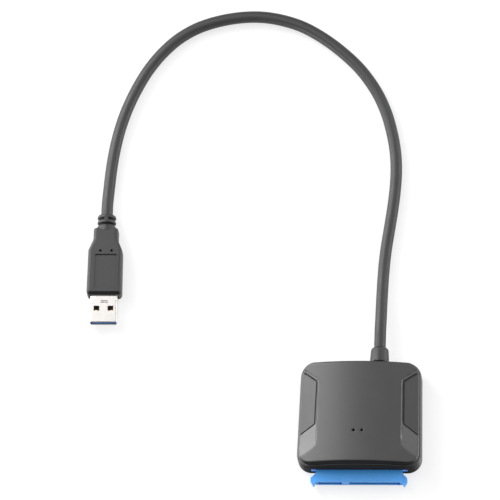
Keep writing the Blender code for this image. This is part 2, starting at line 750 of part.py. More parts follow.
def make_power_jack():
    rear = BASE_REAR_Y - BASE_WALL - CLEARANCE
    front = rear - JACK_LENGTH
    middle = PARTS_Z + JACK_HEIGHT / 2
    bore_end = rear - JACK_BORE_DEPTH
    spring_wide, spring_thick = JACK_SPRING
    bm = bmesh.new()
    low = (JACK_X - JACK_WIDTH / 2, front, PARTS_Z)
    add_box(bm, low, (JACK_X + JACK_WIDTH / 2, rear, PARTS_Z + JACK_HEIGHT))
    body = place("power_jack_body", bm, chip_plastic(), 40)
    bore = bmesh.new()
    add_turned_y(bore, (JACK_X, middle), [(bore_end, JACK_BORE / 2), (rear + 1, JACK_BORE / 2)])
    combine(body, "bore", bore, "DIFFERENCE")
    socket = bmesh.new()
    radius = JACK_PIN / 2 + CONTACT_SIDE_GAP
    add_turned_y(socket, (JACK_X, middle), [(front - 1, radius), (bore_end + 1, radius)], SMALL_SIDES)
    combine(body, "pin_socket", socket, "DIFFERENCE")

    bm = bmesh.new()
    add_turned_y(bm, (JACK_X, middle), [(front + 0.5, JACK_PIN / 2), (rear - 1, JACK_PIN / 2)], SMALL_SIDES)
    place("power_jack_pin", bm, plated_steel(), 40)
    bm = bmesh.new()
    low_z = middle - JACK_BORE / 2 + 3 * CONTACT_SIDE_GAP
    low = (JACK_X - spring_wide / 2, bore_end + CLEARANCE, low_z)
    add_box(bm, low, (JACK_X + spring_wide / 2, rear - 1.5, low_z + spring_thick))
    place("power_jack_spring", bm, plated_steel())


def make_screws():
    low = SCREW_RECESS
    tip = SCREW_NECK_Z + SCREW_LENGTH
    wide, deep = SCREW_SLOT
    for i, x in enumerate((-SCREW_X, SCREW_X)):
        bm = bmesh.new()
        profile = [
            (low, SCREW_HEAD / 2),
            (SCREW_NECK_Z, SCREW_HEAD / 2),
            (SCREW_NECK_Z, SCREW_SHANK / 2),
            (tip - SCREW_SHANK / 2, SCREW_SHANK / 2),
            (tip, SCREW_SHANK / 5),
        ]
        add_turned_z(bm, (x, SCREW_Y), profile, SMALL_SIDES)
        screw = place("case_screw_" + str(i + 1), bm, plated_steel(), 40)
        cross = bmesh.new()
        arm = SCREW_HEAD * 0.32
        add_box(cross, (x - arm, SCREW_Y - wide / 2, low - 1), (x + arm, SCREW_Y + wide / 2, low + deep))
        combine(screw, "slot", cross, "DIFFERENCE")


def make_strain_relief():
    inner = BASE_REAR_Y - BASE_WALL - CLEARANCE
    outer = BASE_REAR_Y + CLEARANCE
    cord = CORD_DIAMETER / 2
    profile = [
        (inner - RELIEF_FLANGE, RELIEF_FLANGE_DIAMETER / 2),
        (inner, RELIEF_FLANGE_DIAMETER / 2),
        (inner, RELIEF_NECK_DIAMETER / 2),
        (outer, RELIEF_NECK_DIAMETER / 2),
        (outer, RELIEF_BASE_DIAMETER / 2),
        (RELIEF_SHOULDER_Y, RELIEF_END_DIAMETER / 2),
        (RELIEF_SHOULDER_Y + 0.9, RELIEF_END_DIAMETER / 2 - 0.5),
        (RELIEF_END_Y, cord + 0.2),
    ]
    bm = bmesh.new()
    add_turned_y(bm, (RELIEF_X, RELIEF_Z), profile)
    place("strain_relief", bm, cord_plastic(), 35)


def smooth_points(route, step):
    """Points a step apart along the smooth curve that passes through the whole route."""
    points = [Vector(point) for point in route]
    ends = [2 * points[0] - points[1], *points, 2 * points[-1] - points[-2]]
    fine = []
    for a, b, c, d in zip(ends, ends[1:], ends[2:], ends[3:]):
        for i in range(24):
            t = i / 24
            bend = 2 * b + (c - a) * t
            bend += (2 * a - 5 * b + 4 * c - d) * t * t + (3 * b - a - 3 * c + d) * t * t * t
            fine.append(bend / 2)
    fine.append(points[-1])
    lengths = [0.0]
    for a, b in zip(fine, fine[1:]):
        lengths.append(lengths[-1] + (b - a).length)
    count = max(round(lengths[-1] / step), 1)
    picked, at = [], 0
    for i in range(count + 1):
        wanted = lengths[-1] * i / count
        while at < len(fine) - 2 and lengths[at + 1] < wanted:
            at += 1
        share = (wanted - lengths[at]) / (lengths[at + 1] - lengths[at])
        picked.append(fine[at].lerp(fine[at + 1], min(share, 1.0)))
    return picked


def add_tube(name, points, diameter, resolution, surface):
    """A round tube along straight stretches between points that lie close together."""
    curve = bpy.data.curves.new(name, "CURVE")
    curve.dimensions = "3D"
    curve.bevel_depth = diameter / 2 * MM
    curve.bevel_resolution = resolution
    curve.use_fill_caps = True
    line = curve.splines.new("POLY")
    line.points.add(len(points) - 1)
    for point, spot in zip(line.points, points):
        point.co = (*(Vector(spot) * MM), 1.0)
    made = bpy.data.objects.new(name, curve)
    bpy.context.scene.collection.objects.link(made)
    curve.materials.append(surface)
    return made


def make_cord():
    start = (RELIEF_X, RELIEF_END_Y + CLEARANCE, RELIEF_Z)
    end = (PLUG_X, BOOT_END_Y + CLEARANCE, GRIP_Z)
    straight = (PLUG_X, BOOT_END_Y + CORD_DIAMETER, GRIP_Z - 0.1)
    route = (start, *CORD_ROUTE, straight, end)
    add_tube("usb_cable", smooth_points(route, CORD_STEP), CORD_DIAMETER, CORD_SIDES, cord_plastic())


def make_wires():
    """Bare ends of the cord's conductors, from the strain relief down to the board."""
    start = BASE_REAR_Y - BASE_WALL - RELIEF_FLANGE - 2 * CLEARANCE
    low = PARTS_Z + WIRE_DIAMETER / 2
    for i, name in enumerate(WIRE_NAMES):
        x = RELIEF_X + (i - (len(WIRE_NAMES) - 1) / 2) * WIRE_PITCH
        route = (
            (x, start, RELIEF_Z),
            (x, start - 1.6, RELIEF_Z - 0.2),
            (x, BOARD_REAR_Y - 0.6, (RELIEF_Z + low) / 2),
            (x, BOARD_REAR_Y - 3.0, low),
            (x, BOARD_REAR_Y - 5.0, low),
        )
        add_tube(name, smooth_points(route, 2 * WIRE_DIAMETER), WIRE_DIAMETER, 1, wire_plastic())


def plug_ring(y, width, height, corner, steps=4):
    """A rounded rectangle across the plug; its corners become a circle where the corner is large."""
    corner = min(corner, width / 2 - 0.01, height / 2 - 0.01)
    ring = []
    for quarter in range(4):
        side_x = (1, -1, -1, 1)[quarter] * (width / 2 - corner)
        side_z = (1, 1, -1, -1)[quarter] * (height / 2 - corner)
        for i in range(steps + 1):
            turn = math.pi / 2 * (quarter + i / steps)
            x = PLUG_X + side_x + corner * math.cos(turn)
            ring.append((x, y, GRIP_Z + side_z + corner * math.sin(turn)))
    return ring


def boot_rings():
    """The ringed boot behind the neck, with a groove at each named place."""
    yield NECK_REAR_Y, BOOT_DIAMETER
    for y in BOOT_GROOVES_Y:
        for place_y, wide in (
            (y - BOOT_GROOVE_WIDTH / 2, BOOT_DIAMETER),
            (y - BOOT_GROOVE_WIDTH / 2 + 0.1, BOOT_DIAMETER - 2 * BOOT_GROOVE_DEPTH),
            (y + BOOT_GROOVE_WIDTH / 2 - 0.1, BOOT_DIAMETER - 2 * BOOT_GROOVE_DEPTH),
            (y + BOOT_GROOVE_WIDTH / 2, BOOT_DIAMETER),
        ):
            yield place_y, wide
    yield BOOT_END_Y - 1.0, BOOT_DIAMETER
    yield BOOT_END_Y - 0.3, BOOT_END_DIAMETER
    yield BOOT_END_Y, BOOT_END_DIAMETER - 0.8


def make_plug_grip():
    bevel = GRIP_FRONT_BEVEL
    sections = [
        (GRIP_FRONT_Y, GRIP_WIDTH_FRONT - bevel, GRIP_HEIGHT - 1.6 * bevel, GRIP_CORNER),
        (GRIP_FRONT_Y + bevel / 3, GRIP_WIDTH_FRONT - bevel / 3, GRIP_HEIGHT - 0.7 * bevel, GRIP_CORNER),
        (GRIP_FRONT_Y + bevel, GRIP_WIDTH_FRONT, GRIP_HEIGHT, GRIP_CORNER),
        (GRIP_SHOULDER_Y, GRIP_WIDTH_REAR, GRIP_HEIGHT, GRIP_CORNER),
        (GRIP_SHOULDER_Y + 1.0, GRIP_WIDTH_REAR - 0.5, GRIP_HEIGHT, GRIP_CORNER),
        (NECK_FRONT_Y - 0.8, NECK_WIDTH + 0.4, NECK_HEIGHT + 0.1, GRIP_CORNER),
        (NECK_FRONT_Y, NECK_WIDTH, NECK_HEIGHT, GRIP_CORNER),
        (NECK_REAR_Y - 1.2, NECK_WIDTH, NECK_HEIGHT, GRIP_CORNER),
        (NECK_REAR_Y - 0.4, NECK_WIDTH - 0.7, NECK_HEIGHT - 0.5, GRIP_CORNER),
        (NECK_REAR_Y, NECK_WIDTH - 1.9, NECK_HEIGHT - 1.2, GRIP_CORNER),
    ]
    rings = [plug_ring(*section) for section in sections]
    bm = bmesh.new()
    add_loft(bm, rings)
    grip = place("plug_grip", bm, cord_plastic(), 35)

    boot = bmesh.new()
    profile = [(NECK_REAR_Y - WELD_IN, BOOT_DIAMETER / 2 - WELD_IN)]
    profile += [(y, wide / 2) for y, wide in boot_rings()]
    add_turned_y(boot, (PLUG_X, GRIP_Z), profile)
    combine(grip, "boot", boot, "UNION")
    bridges = bmesh.new()
    y = BOOT_GROOVES_Y[1]
    flat = BOOT_DIAMETER / 2 - 0.15
    for low, high in ((GRIP_Z + 2, GRIP_Z + flat), (GRIP_Z - flat, GRIP_Z - 2)):
        half = BOOT_BRIDGE / 2
        front, rear = y - BOOT_GROOVE_WIDTH, y + BOOT_GROOVE_WIDTH
        add_box(bridges, (PLUG_X - half, front, low), (PLUG_X + half, rear, high))
    combine(grip, "bridges", bridges, "UNION")

    cuts = bmesh.new()
    socket = SHELL_ROOT_DEPTH + CLEARANCE
    low = (PLUG_X - SHELL_WIDTH / 2 - CLEARANCE, GRIP_FRONT_Y - 1, GRIP_Z - SHELL_HEIGHT / 2 - CLEARANCE)
    top = GRIP_Z + SHELL_HEIGHT / 2 + CLEARANCE
    high = (PLUG_X + SHELL_WIDTH / 2 + CLEARANCE, GRIP_FRONT_Y + socket, top)
    add_box(cuts, low, high)
    low = (PLUG_X - PANEL_HALF, PANEL_FRONT_Y, GRIP_HEIGHT - PANEL_DEPTH)
    add_box(cuts, low, (PLUG_X + PANEL_HALF, PANEL_REAR_Y - PANEL_GROOVE[0], GRIP_HEIGHT + 1))
    low = (PLUG_X - PANEL_HALF, PANEL_REAR_Y - PANEL_GROOVE[0] + 0.001, GRIP_HEIGHT - PANEL_GROOVE[1])
    add_box(cuts, low, (PLUG_X + PANEL_HALF, PANEL_REAR_Y, GRIP_HEIGHT + 1))
    for side in (-1, 1):
        centre = (PLUG_X + side * DIMPLE_PITCH / 2, DIMPLE_Y)
        profile = [(GRIP_HEIGHT - DIMPLE_DEPTH, DIMPLE_DIAMETER / 2), (GRIP_HEIGHT + 1, DIMPLE_DIAMETER / 2)]
        add_turned_z(cuts, centre, profile, SMALL_SIDES)
    combine(grip, "cuts", cuts, "DIFFERENCE")


def make_plug_shell():
    root = GRIP_FRONT_Y + SHELL_ROOT_DEPTH
    bm = bmesh.new()
    add_loft(bm, [plug_ring(y, SHELL_WIDTH, SHELL_HEIGHT, SHELL_CORNER, 3) for y in (SHELL_TIP_Y, root)])
    shell = place("usb_shell", bm, plated_steel(), 35)
    inside = bmesh.new()
    size = (SHELL_WIDTH - 2 * SHELL_WALL, SHELL_HEIGHT - 2 * SHELL_WALL, SHELL_CORNER - SHELL_WALL)
    add_loft(inside, [plug_ring(y, *size, 3) for y in (SHELL_TIP_Y - 1, root + 1)])
    combine(shell, "inside", inside, "DIFFERENCE")
    holes = bmesh.new()
    wide, deep = LATCH_HOLE
    for side in (-1, 1):
        x = PLUG_X + side * LATCH_HOLE_X
        low = (x - wide / 2, LATCH_HOLE_Y - deep / 2, GRIP_Z - SHELL_HEIGHT)
        add_box(holes, low, (x + wide / 2, LATCH_HOLE_Y + deep / 2, GRIP_Z + SHELL_HEIGHT))
    wide, deep = STAMP_SIZE
    top = GRIP_Z + SHELL_HEIGHT / 2
    low = (PLUG_X - wide / 2, STAMP_Y - deep / 2, top - STAMP_DEPTH)
    add_box(holes, low, (PLUG_X + wide / 2, STAMP_Y + deep / 2, top + 1))
    combine(shell, "holes", holes, "DIFFERENCE")


def make_plug_tongue():
    bottom = GRIP_Z - SHELL_HEIGHT / 2 + SHELL_WALL + TONGUE_SIDE_GAP
    top = bottom + TONGUE_THICKNESS
    half = SHELL_WIDTH / 2 - SHELL_WALL - TONGUE_SIDE_GAP
    tip = SHELL_TIP_Y + TONGUE_TIP_INSET
    bm = bmesh.new()
    add_box(bm, (PLUG_X - half, tip, bottom), (PLUG_X + half, GRIP_FRONT_Y + SHELL_ROOT_DEPTH, top))
    place("usb_tongue", bm, blue_plastic())
    low_z = top + PLUG_CONTACT_GAP
    rows = (
        ("usb_contact_", PLUG_CONTACTS, PLUG_CONTACT_WIDTH, tip + 0.6, PLUG_CONTACT_LENGTH),
        ("usb_fast_contact_", FAST_CONTACTS, FAST_WIDTH, tip + FAST_START, FAST_LENGTH),
    )
    for word, places, width, front, length in rows:
        for i, offset in enumerate(places):
            x = PLUG_X + offset
            bm = bmesh.new()
            high = (x + width / 2, front + length, low_z + PLUG_CONTACT_THICKNESS)
            add_box(bm, (x - width / 2, front, low_z), high)
            place(word + str(i + 1), bm, gold_plate())


def main():
    clear_scene()
    make_top_cover()
    make_bottom_cover()
    make_receptacle()
    make_drive_contacts()
    make_board()
    make_board_parts()
    make_power_jack()
    make_screws()
    make_strain_relief()
    make_wires()
    make_cord()
    make_plug_grip()
    make_plug_shell()
    make_plug_tongue()


main()
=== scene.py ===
"""The looks of the USB to SATA adapter: fine mouldings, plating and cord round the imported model.

Sizes are in millimetres in the model's frame: the drive receptacle faces -Y and the cord leaves at +Y.
"""

import math

import bmesh
import bpy
from mathutils import Matrix, Vector
from mathutils.geometry import delaunay_2d_cdt


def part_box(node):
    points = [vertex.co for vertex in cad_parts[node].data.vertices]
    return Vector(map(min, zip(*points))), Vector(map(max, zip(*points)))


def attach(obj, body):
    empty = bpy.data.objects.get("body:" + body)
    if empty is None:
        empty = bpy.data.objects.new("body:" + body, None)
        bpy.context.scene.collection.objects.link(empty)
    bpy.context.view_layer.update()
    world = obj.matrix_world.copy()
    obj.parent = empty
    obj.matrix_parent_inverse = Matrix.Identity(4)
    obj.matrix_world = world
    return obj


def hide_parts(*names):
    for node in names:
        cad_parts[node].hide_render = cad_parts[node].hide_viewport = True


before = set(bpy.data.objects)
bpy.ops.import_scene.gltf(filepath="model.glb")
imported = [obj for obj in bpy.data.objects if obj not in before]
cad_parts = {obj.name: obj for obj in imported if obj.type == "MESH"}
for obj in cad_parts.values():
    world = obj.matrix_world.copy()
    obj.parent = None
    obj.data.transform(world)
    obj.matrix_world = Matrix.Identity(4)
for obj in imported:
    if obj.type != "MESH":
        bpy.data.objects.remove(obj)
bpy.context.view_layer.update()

MM = 0.001
MERGE = 0.0005 * MM
cover_low, cover_high = (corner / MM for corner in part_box("top_cover"))
base_low, base_high = (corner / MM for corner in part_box("bottom_cover"))
shell_low, shell_high = (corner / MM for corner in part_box("usb_shell"))
relief_low, relief_high = (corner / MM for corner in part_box("strain_relief"))
jack_low, jack_high = (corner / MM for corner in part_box("power_jack_body"))
block_low, block_high = (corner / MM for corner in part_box("sata_receptacle"))

# Camera: a long lens far off, high over the front, rolled so that the housing stands almost upright
CAMERA_AZIMUTH = 14.0
CAMERA_ELEVATION = 70.0
CAMERA_ROLL = 13.1
CAMERA_LENS = 1000.0
SENSOR = 36.0
PICTURE = 500
PIXELS_PER_MM = 2.27
SEEN_POINT = (-0.4, -5.45, 15.0)
SEEN_AT = (357.5, 429.8)

# Housing
CROWN_RADIUS = 90.0
REAR_HALF = 25.7
CORNER = 5.6
COVER_SIDE = 2.8
SEAM = 0.3
ROOF_WALL = 1.6
BASE_WALL = 1.5
BASE_FLOOR = 1.2
LIP_WALL = 0.8
LIP_DEPTH = 1.5
FRONT_FILLET = 0.95
SIDE_FILLET = 0.6
BASE_FILLET = 0.8
SEAM_FILLET = 0.16
RIM_FILLET = 0.7
CORNER_STEPS = 18
EDGE_PITCH = 1.1

# Openings and recesses in the base
MOUTH_HALF = 19.5
WING_LOW = 2.3
JACK_BORE = 3.1
JACK_RIM = 0.5
CORD_SLOT = 3.5
SEAT_MOUTH = 2.65
SEAT_RADIUS = 2.4
SEAT_EDGE = 0.25
LABEL_Y = 6.0
LABEL_SIZE = (30.0, 24.0)
LABEL_CORNER = 2.0
LABEL_DEPTH = 0.15

# Side pockets, as plan points of the right one, and the panel that lies in each between three grooves
POCKET_DEPTH = 1.2
REAR_OUTER = (24.8, 23.5)
REAR_INNER = (18.3, 18.6)
FRONT_INNER = (18.5, -11.5)
FRONT_OUTER = (25.6, -16.5)
PAD_REAR_INNER = (18.95, 18.25)
PAD_FRONT_INNER = (19.4, -1.8)
PAD_FRONT_OUTER = (26.0, -6.6)
PAD_REAR_OUTER = (25.6, 23.26)
PAD_REAR_LENGTH = 7.2
REAR_CHAMFER = (0.58, 0.62)
INNER_CHAMFER = (0.5, 0.39)
STEEP_WIDTH = 0.12
WALL_SOFTNESS = 0.08
FOOT_SOFTNESS = 0.1
RAMP_SOFTNESS = 0.03
GROOVE_HALF = 0.06
GROOVE_FLANK = 0.22
GROOVE_MARGIN = 0.3

# Depths of the grooves behind the panel, on its inner side and before it
GROOVE_DEPTHS = (0.4, 0.42, 0.55)

# The roof's triangles: their size, a honeycomb row's height as a share of it, and offsets at a crease
SHEET_PITCH = 0.85
ROW_SHARE = 0.866
CREASE_OFFSETS = (-0.12, -0.04, 0.04, 0.12)

# Painted shade on the front, a darker, rougher and less glossy plastic: where it ends, its steps, and how
# squarely a face looks to the front for it
FRONT_SHADE_Y = -15.0
FRONT_SHADE_STEPS = 5
FACING_START = 0.4
FACING_SPAN = 0.5

# Lamp holes in the roof
LAMP_X = -0.4
LAMP_Y = -5.45
LAMP_PITCH = 3.6
LAMP_HOLE = 1.2
LAMP_RIM = 0.07
LAMP_SIDES = 28
SHROUD_WALL = 0.9
SHROUD_LOW = 4.9

# Strain relief
RELIEF_FLANGE = 4.5
RELIEF_NECK = 3.2
RELIEF_ROOT = 4.3
RELIEF_END = 3.95
RELIEF_TIP_LENGTH = 2.0
RELIEF_TIP_DROP = 0.9

# Cord: the route, along the floor in one open loop
CORD_DIAMETER = 5.2
CORD_STEP = 2.5
CORD_RESOLUTION = 14
CORD_HIDDEN = 1.0
CORD_ROUTE = (
    (7.9, 44.0, 6.9),
    (8.0, 48.9, 6.5),
    (8.0, 53.8, 5.8),
    (8.1, 63.7, 4.1),
    (8.4, 73.6, 2.95),
    (9.1, 82.9, 2.65),
    (10.3, 92.2, 2.65),
    (11.5, 101.6, 2.65),
    (12.4, 110.9, 2.65),
    (12.7, 120.4, 2.65),
    (12.0, 129.7, 2.65),
    (10.1, 139.2, 2.65),
    (7.2, 148.6, 2.65),
    (2.6, 158.2, 2.65),
    (-4.6, 168.3, 2.65),
    (-13.7, 177.1, 2.65),
    (-23.9, 184.6, 2.65),
    (-34.3, 189.8, 2.65),
    (-47.7, 192.9, 2.65),
    (-61.3, 192.5, 2.65),
    (-74.7, 189.1, 2.65),
    (-84.8, 183.7, 2.65),
    (-92.9, 176.3, 2.65),
    (-99.5, 167.5, 2.65),
    (-104.6, 158.0, 2.65),
    (-108.5, 148.5, 2.65),
    (-111.3, 139.1, 2.65),
    (-113.2, 129.6, 2.65),
    (-114.4, 120.3, 2.7),
    (-115.1, 110.7, 3.25),
)

# USB plug
PLUG_X = (shell_low.x + shell_high.x) / 2
PLUG_Z = (shell_low.z + shell_high.z) / 2
GRIP_PLAN = ((60.2, 7.2), (61.3, 7.75), (81.0, 7.55), (86.2, 5.45), (91.3, 5.45), (91.5, 4.2))
GRIP_SIDE = ((60.2, 3.35), (61.3, 4.2), (82.0, 4.2), (86.2, 3.95), (91.3, 3.9), (91.5, 3.4))
GRIP_CORNER = 1.5
GRIP_SOFTNESS = 0.5
GRIP_PITCH = 0.4
GRIP_BEVEL = 1.5
GRIP_POCKET = 3.8
GRIP_NECK_Y = 91.3
BOOT_RADIUS = 4.15
BOOT_ROOT = 0.8
BOOT_GROOVES = (93.45, 95.8)
BOOT_GROOVE_DEPTH = 1.5
BOOT_GROOVE_HALF = 0.55
BOOT_GROOVE_SQUARENESS = 10
BOOT_BRIDGE = (1.8, 1.6)
BOOT_BRIDGE_DROP = 0.12
BOOT_END_Y = 98.1
BOOT_END_ROUND = 1.3
BOOT_END_DROP = 0.9
PANEL_X = PLUG_X + 0.45
PANEL_HALF = 4.8
PANEL_Y = (62.6, 78.3)
PANEL_DEPTH = 0.22
PANEL_SLOT_Y = (78.3, 78.9)
PANEL_SLOT_DEPTH = 0.7
DIMPLE_PITCH = 5.0
DIMPLE_Y = 80.5
DIMPLE_DIAMETER = 1.2
DIMPLE_DEPTH = 1.7
SHELL_WALL = 0.3
SHELL_CORNER = 0.65
SHELL_JOINT = 0.1
LATCH_HOLE = (2.55, 2.3)
LATCH_X = 3.1
LATCH_Y = 54.05
STAMP_X = PLUG_X + 0.2
STAMP_SLIT = (3.2, 0.34)
STAMP_SLIT_Y = 57.5
STAMP_BAR = (3.4, 0.26)
STAMP_BAR_Y = 56.8
STAMP_CORNER = 0.1
CARRIER_Y = 51.6

# Studio: softboxes as name, place, target, width and height in metres, and radiance, where 1 is white
WORLD_LIGHT = 0.2
FLOOR_COLOUR = (0.3, 0.3, 0.3)
FLOOR_GLOW = 0.72
FLOOR_HALF = 30.0
FLOOR_LOW = -0.00002
MIDDLE = (-0.02, 0.04, 0.0)
SOFTBOXES = (
    ("ceiling", (-0.08, 0.5, 1.55), MIDDLE, (2.0, 2.1), 0.72),
    ("left_ceiling", (-0.74, 0.53, 1.18), MIDDLE, (0.75, 0.8), 2.9),
    ("key", (-0.78, 0.74, 0.72), MIDDLE, (0.4, 0.4), 14.0),
    ("rim", (0.7, 0.78, 0.75), MIDDLE, (0.45, 0.4), 5.0),
    ("left_strip", (-1.25, 0.38, 0.19), MIDDLE, (1.1, 0.28), 12.0),
    ("right_strip", (1.25, 0.2, 0.22), MIDDLE, (1.4, 0.3), 8.0),
    ("low_left", (-1.04, -0.74, 0.18), MIDDLE, (0.6, 0.26), 15.0),
    ("low_right", (0.93, -0.88, 0.24), MIDDLE, (0.3, 0.24), 10.0),
)


def clamp(value, low, high):
    return max(low, min(high, value))


def link(name, data):
    made = bpy.data.objects.new(name, data)
    bpy.context.scene.collection.objects.link(made)
    return made


# Materials

# The housing's satin plastic, and the painted shade of its front faces as a darker, rougher plastic, each as
# dark colour, light colour and roughness
SATIN = ((0.022, 0.022, 0.0225), (0.028, 0.028, 0.0285), (0.34, 0.4))
SATIN_SPECULAR = 0.8
FRONT_SHADE_PLASTIC = ((0.01, 0.01, 0.0102), (0.014, 0.014, 0.0142), (0.74, 0.84))
FRONT_SHADE_SPECULAR = 0.15


def plain_surface(name, colour, roughness, metallic=0.0, specular=0.5):
    """A Principled surface; the colour is in linear light."""
    made = bpy.data.materials.new(name)
    made.use_nodes = True
    shader = made.node_tree.nodes["Principled BSDF"]
    shader.inputs["Base Color"].default_value = (*colour, 1.0)
    shader.inputs["Roughness"].default_value = roughness
    shader.inputs["Metallic"].default_value = metallic
    shader.inputs["Specular IOR Level"].default_value = specular
    return made


def noise(tree, size, detail=2.0, stretch=(1.0, 1.0, 1.0)):
    """A noise pattern whose blots are about size millimetres across."""
    place = tree.nodes.new("ShaderNodeTexCoord")
    scale = tree.nodes.new("ShaderNodeMapping")
    scale.inputs["Scale"].default_value = stretch
    pattern = tree.nodes.new("ShaderNodeTexNoise")
    pattern.inputs["Scale"].default_value = 1.0 / (size * MM)
    pattern.inputs["Detail"].default_value = detail
    tree.links.new(place.outputs["Object"], scale.inputs["Vector"])
    tree.links.new(scale.outputs["Vector"], pattern.inputs["Vector"])
    return pattern.outputs["Fac"]


def spread(tree, source, low, high):
    """The pattern's middle range, from 0.3 to 0.7, spread from low to high."""
    step = tree.nodes.new("ShaderNodeMapRange")
    step.inputs["From Min"].default_value = 0.3
    step.inputs["From Max"].default_value = 0.7
    step.inputs["To Min"].default_value = low
    step.inputs["To Max"].default_value = high
    tree.links.new(source, step.inputs["Value"])
    return step.outputs["Result"]


def tint(tree, source, first, second):
    mix = tree.nodes.new("ShaderNodeMix")
    mix.data_type = "RGBA"
    mix.inputs["A"].default_value = (*first, 1.0)
    mix.inputs["B"].default_value = (*second, 1.0)
    tree.links.new(source, mix.inputs["Factor"])
    return mix.outputs["Result"]


def emboss(tree, shader, source, height):
    """A bump of the given height in millimetres."""
    bump = tree.nodes.new("ShaderNodeBump")
    bump.inputs["Strength"].default_value = 1.0
    bump.inputs["Distance"].default_value = height * MM
    tree.links.new(source, bump.inputs["Height"])
    tree.links.new(bump.outputs["Normal"], shader.inputs["Normal"])


def moulded(name, dark, light, roughness, grain, height, cloud=9.0, specular=0.5):
    """Moulded plastic: a fine grain over soft clouds of colour and gloss, with their sizes in millimetres."""
    made = plain_surface(name, dark, roughness[0], specular=specular)
    tree = made.node_tree
    shader = tree.nodes["Principled BSDF"]
    clouds = noise(tree, cloud, 3.0)
    fine = noise(tree, grain, 2.0)
    tree.links.new(tint(tree, clouds, dark, light), shader.inputs["Base Color"])
    tree.links.new(spread(tree, clouds, *roughness), shader.inputs["Roughness"])
    emboss(tree, shader, fine, height)
    return made


def metal(name, dark, light, roughness, streak, height):
    """Plated metal with fine drawing lines along Y, their width and height in millimetres."""
    made = plain_surface(name, light, roughness[0], metallic=1.0)
    tree = made.node_tree
    shader = tree.nodes["Principled BSDF"]
    lines = noise(tree, streak, 3.0, (1.0, 0.06, 1.0))
    stains = noise(tree, 3.5, 2.0)
    tree.links.new(tint(tree, stains, dark, light), shader.inputs["Base Color"])
    tree.links.new(spread(tree, lines, *roughness), shader.inputs["Roughness"])
    emboss(tree, shader, lines, height)
    return made


def laminate():
    """Green board with its tracks showing under the lacquer."""
    lacquer, over_track, between_tracks = (0.012, 0.1, 0.035), (0.016, 0.13, 0.045), (0.05, 0.26, 0.09)
    made = plain_surface("green_laminate", lacquer, 0.35)
    tree = made.node_tree
    shader = tree.nodes["Principled BSDF"]
    place = tree.nodes.new("ShaderNodeTexCoord")
    tracks = tree.nodes.new("ShaderNodeTexBrick")
    tracks.inputs["Color1"].default_value = (*lacquer, 1.0)
    tracks.inputs["Color2"].default_value = (*over_track, 1.0)
    tracks.inputs["Mortar"].default_value = (*between_tracks, 1.0)
    tracks.inputs["Scale"].default_value = 1.0 / (6.0 * MM)
    tracks.inputs["Mortar Size"].default_value = 0.04
    tree.links.new(place.outputs["Object"], tracks.inputs["Vector"])
    tree.links.new(tracks.outputs["Color"], shader.inputs["Base Color"])
    emboss(tree, shader, tracks.outputs["Fac"], 0.02)
    return made


def between(first, last, share):
    return tuple(a + (b - a) * share for a, b in zip(first, last))


def front_shade_step(step):
    """The housing's plastic on its way from the satin of the sides to the painted shade of the front, a
    darker, rougher and less glossy plastic.
    """
    share = step / FRONT_SHADE_STEPS
    dark, light, roughness = (between(first, last, share) for first, last in zip(SATIN, FRONT_SHADE_PLASTIC))
    specular = SATIN_SPECULAR + (FRONT_SHADE_SPECULAR - SATIN_SPECULAR) * share
    return moulded(f"front_shade_black_{step}", dark, light, roughness, 0.24, 0.009, specular=specular)


HOUSING = moulded("satin_black", *SATIN, 0.22, 0.006, specular=SATIN_SPECULAR)
CORD = moulded("soft_black", (0.026, 0.026, 0.0265), (0.033, 0.033, 0.0335), (0.44, 0.52), 0.5, 0.006, 5.0)
# Painted shade for the faces that look to the front, in steps from the satin plastic to the darkest
FRONT_SHADE_MATERIALS = [front_shade_step(step + 1) for step in range(FRONT_SHADE_STEPS)]
DEEP_BLUE = moulded("deep_blue", (0.03, 0.12, 0.34), (0.036, 0.14, 0.39), (0.3, 0.38), 0.35, 0.003, 6.0)
BLUE = moulded("clear_blue", (0.06, 0.37, 0.93), (0.08, 0.41, 0.97), (0.28, 0.36), 0.35, 0.003, 6.0)
CHIP = moulded("chip_epoxy", (0.014, 0.014, 0.015), (0.022, 0.022, 0.023), (0.5, 0.62), 0.12, 0.004)
LAMP = moulded("lamp_resin", (0.62, 0.66, 0.68), (0.74, 0.77, 0.78), (0.2, 0.3), 0.3, 0.002)
WIRE = moulded("wire_coat", (0.3, 0.04, 0.035), (0.38, 0.055, 0.045), (0.35, 0.45), 0.3, 0.002)
STEEL = metal("bright_plate", (0.63, 0.605, 0.585), (0.69, 0.664, 0.642), (0.16, 0.24), 0.08, 0.0006)
GOLD = metal("gold_flash", (0.76, 0.5, 0.16), (0.88, 0.62, 0.24), (0.16, 0.26), 0.06, 0.0006)
BOARD = laminate()


# Pieces


def settle(piece):
    """Keeps the piece's mesh as its modifiers leave it."""
    graph = bpy.context.evaluated_depsgraph_get()
    made = bpy.data.meshes.new_from_object(piece.evaluated_get(graph))
    old = piece.data
    piece.modifiers.clear()
    piece.data = made
    bpy.data.meshes.remove(old)


def shade(piece, angle):
    piece.data.shade_smooth()
    piece.data.set_sharp_from_angle(angle=math.radians(angle))
    even = piece.modifiers.new("even_shading", "WEIGHTED_NORMAL")
    even.keep_sharp = True


def make_piece(name, bm, surface, nodes=()):
    mesh = bpy.data.meshes.new(name)
    bm.to_mesh(mesh)
    bm.free()
    mesh.materials.append(surface)
    piece = link(name, mesh)
    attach(piece, "root")
    if nodes:
        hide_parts(*nodes)
    return piece


def carve(piece, bm, operation="DIFFERENCE"):
    mesh = bpy.data.meshes.new("carver")
    bm.to_mesh(mesh)
    bm.free()
    carver = link("carver", mesh)
    step = piece.modifiers.new("carve", "BOOLEAN")
    step.operation = operation
    step.solver = "EXACT"
    step.object = carver
    settle(piece)
    bpy.data.objects.remove(carver)


def soften(piece, width, steps):
    bevel = piece.modifiers.new("soft_edges", "BEVEL")
    bevel.width = width * MM
    bevel.segments = steps
    bevel.limit_method = "ANGLE"
    bevel.angle_limit = math.radians(35)
    bevel.miter_outer = "MITER_ARC"
    settle(piece)


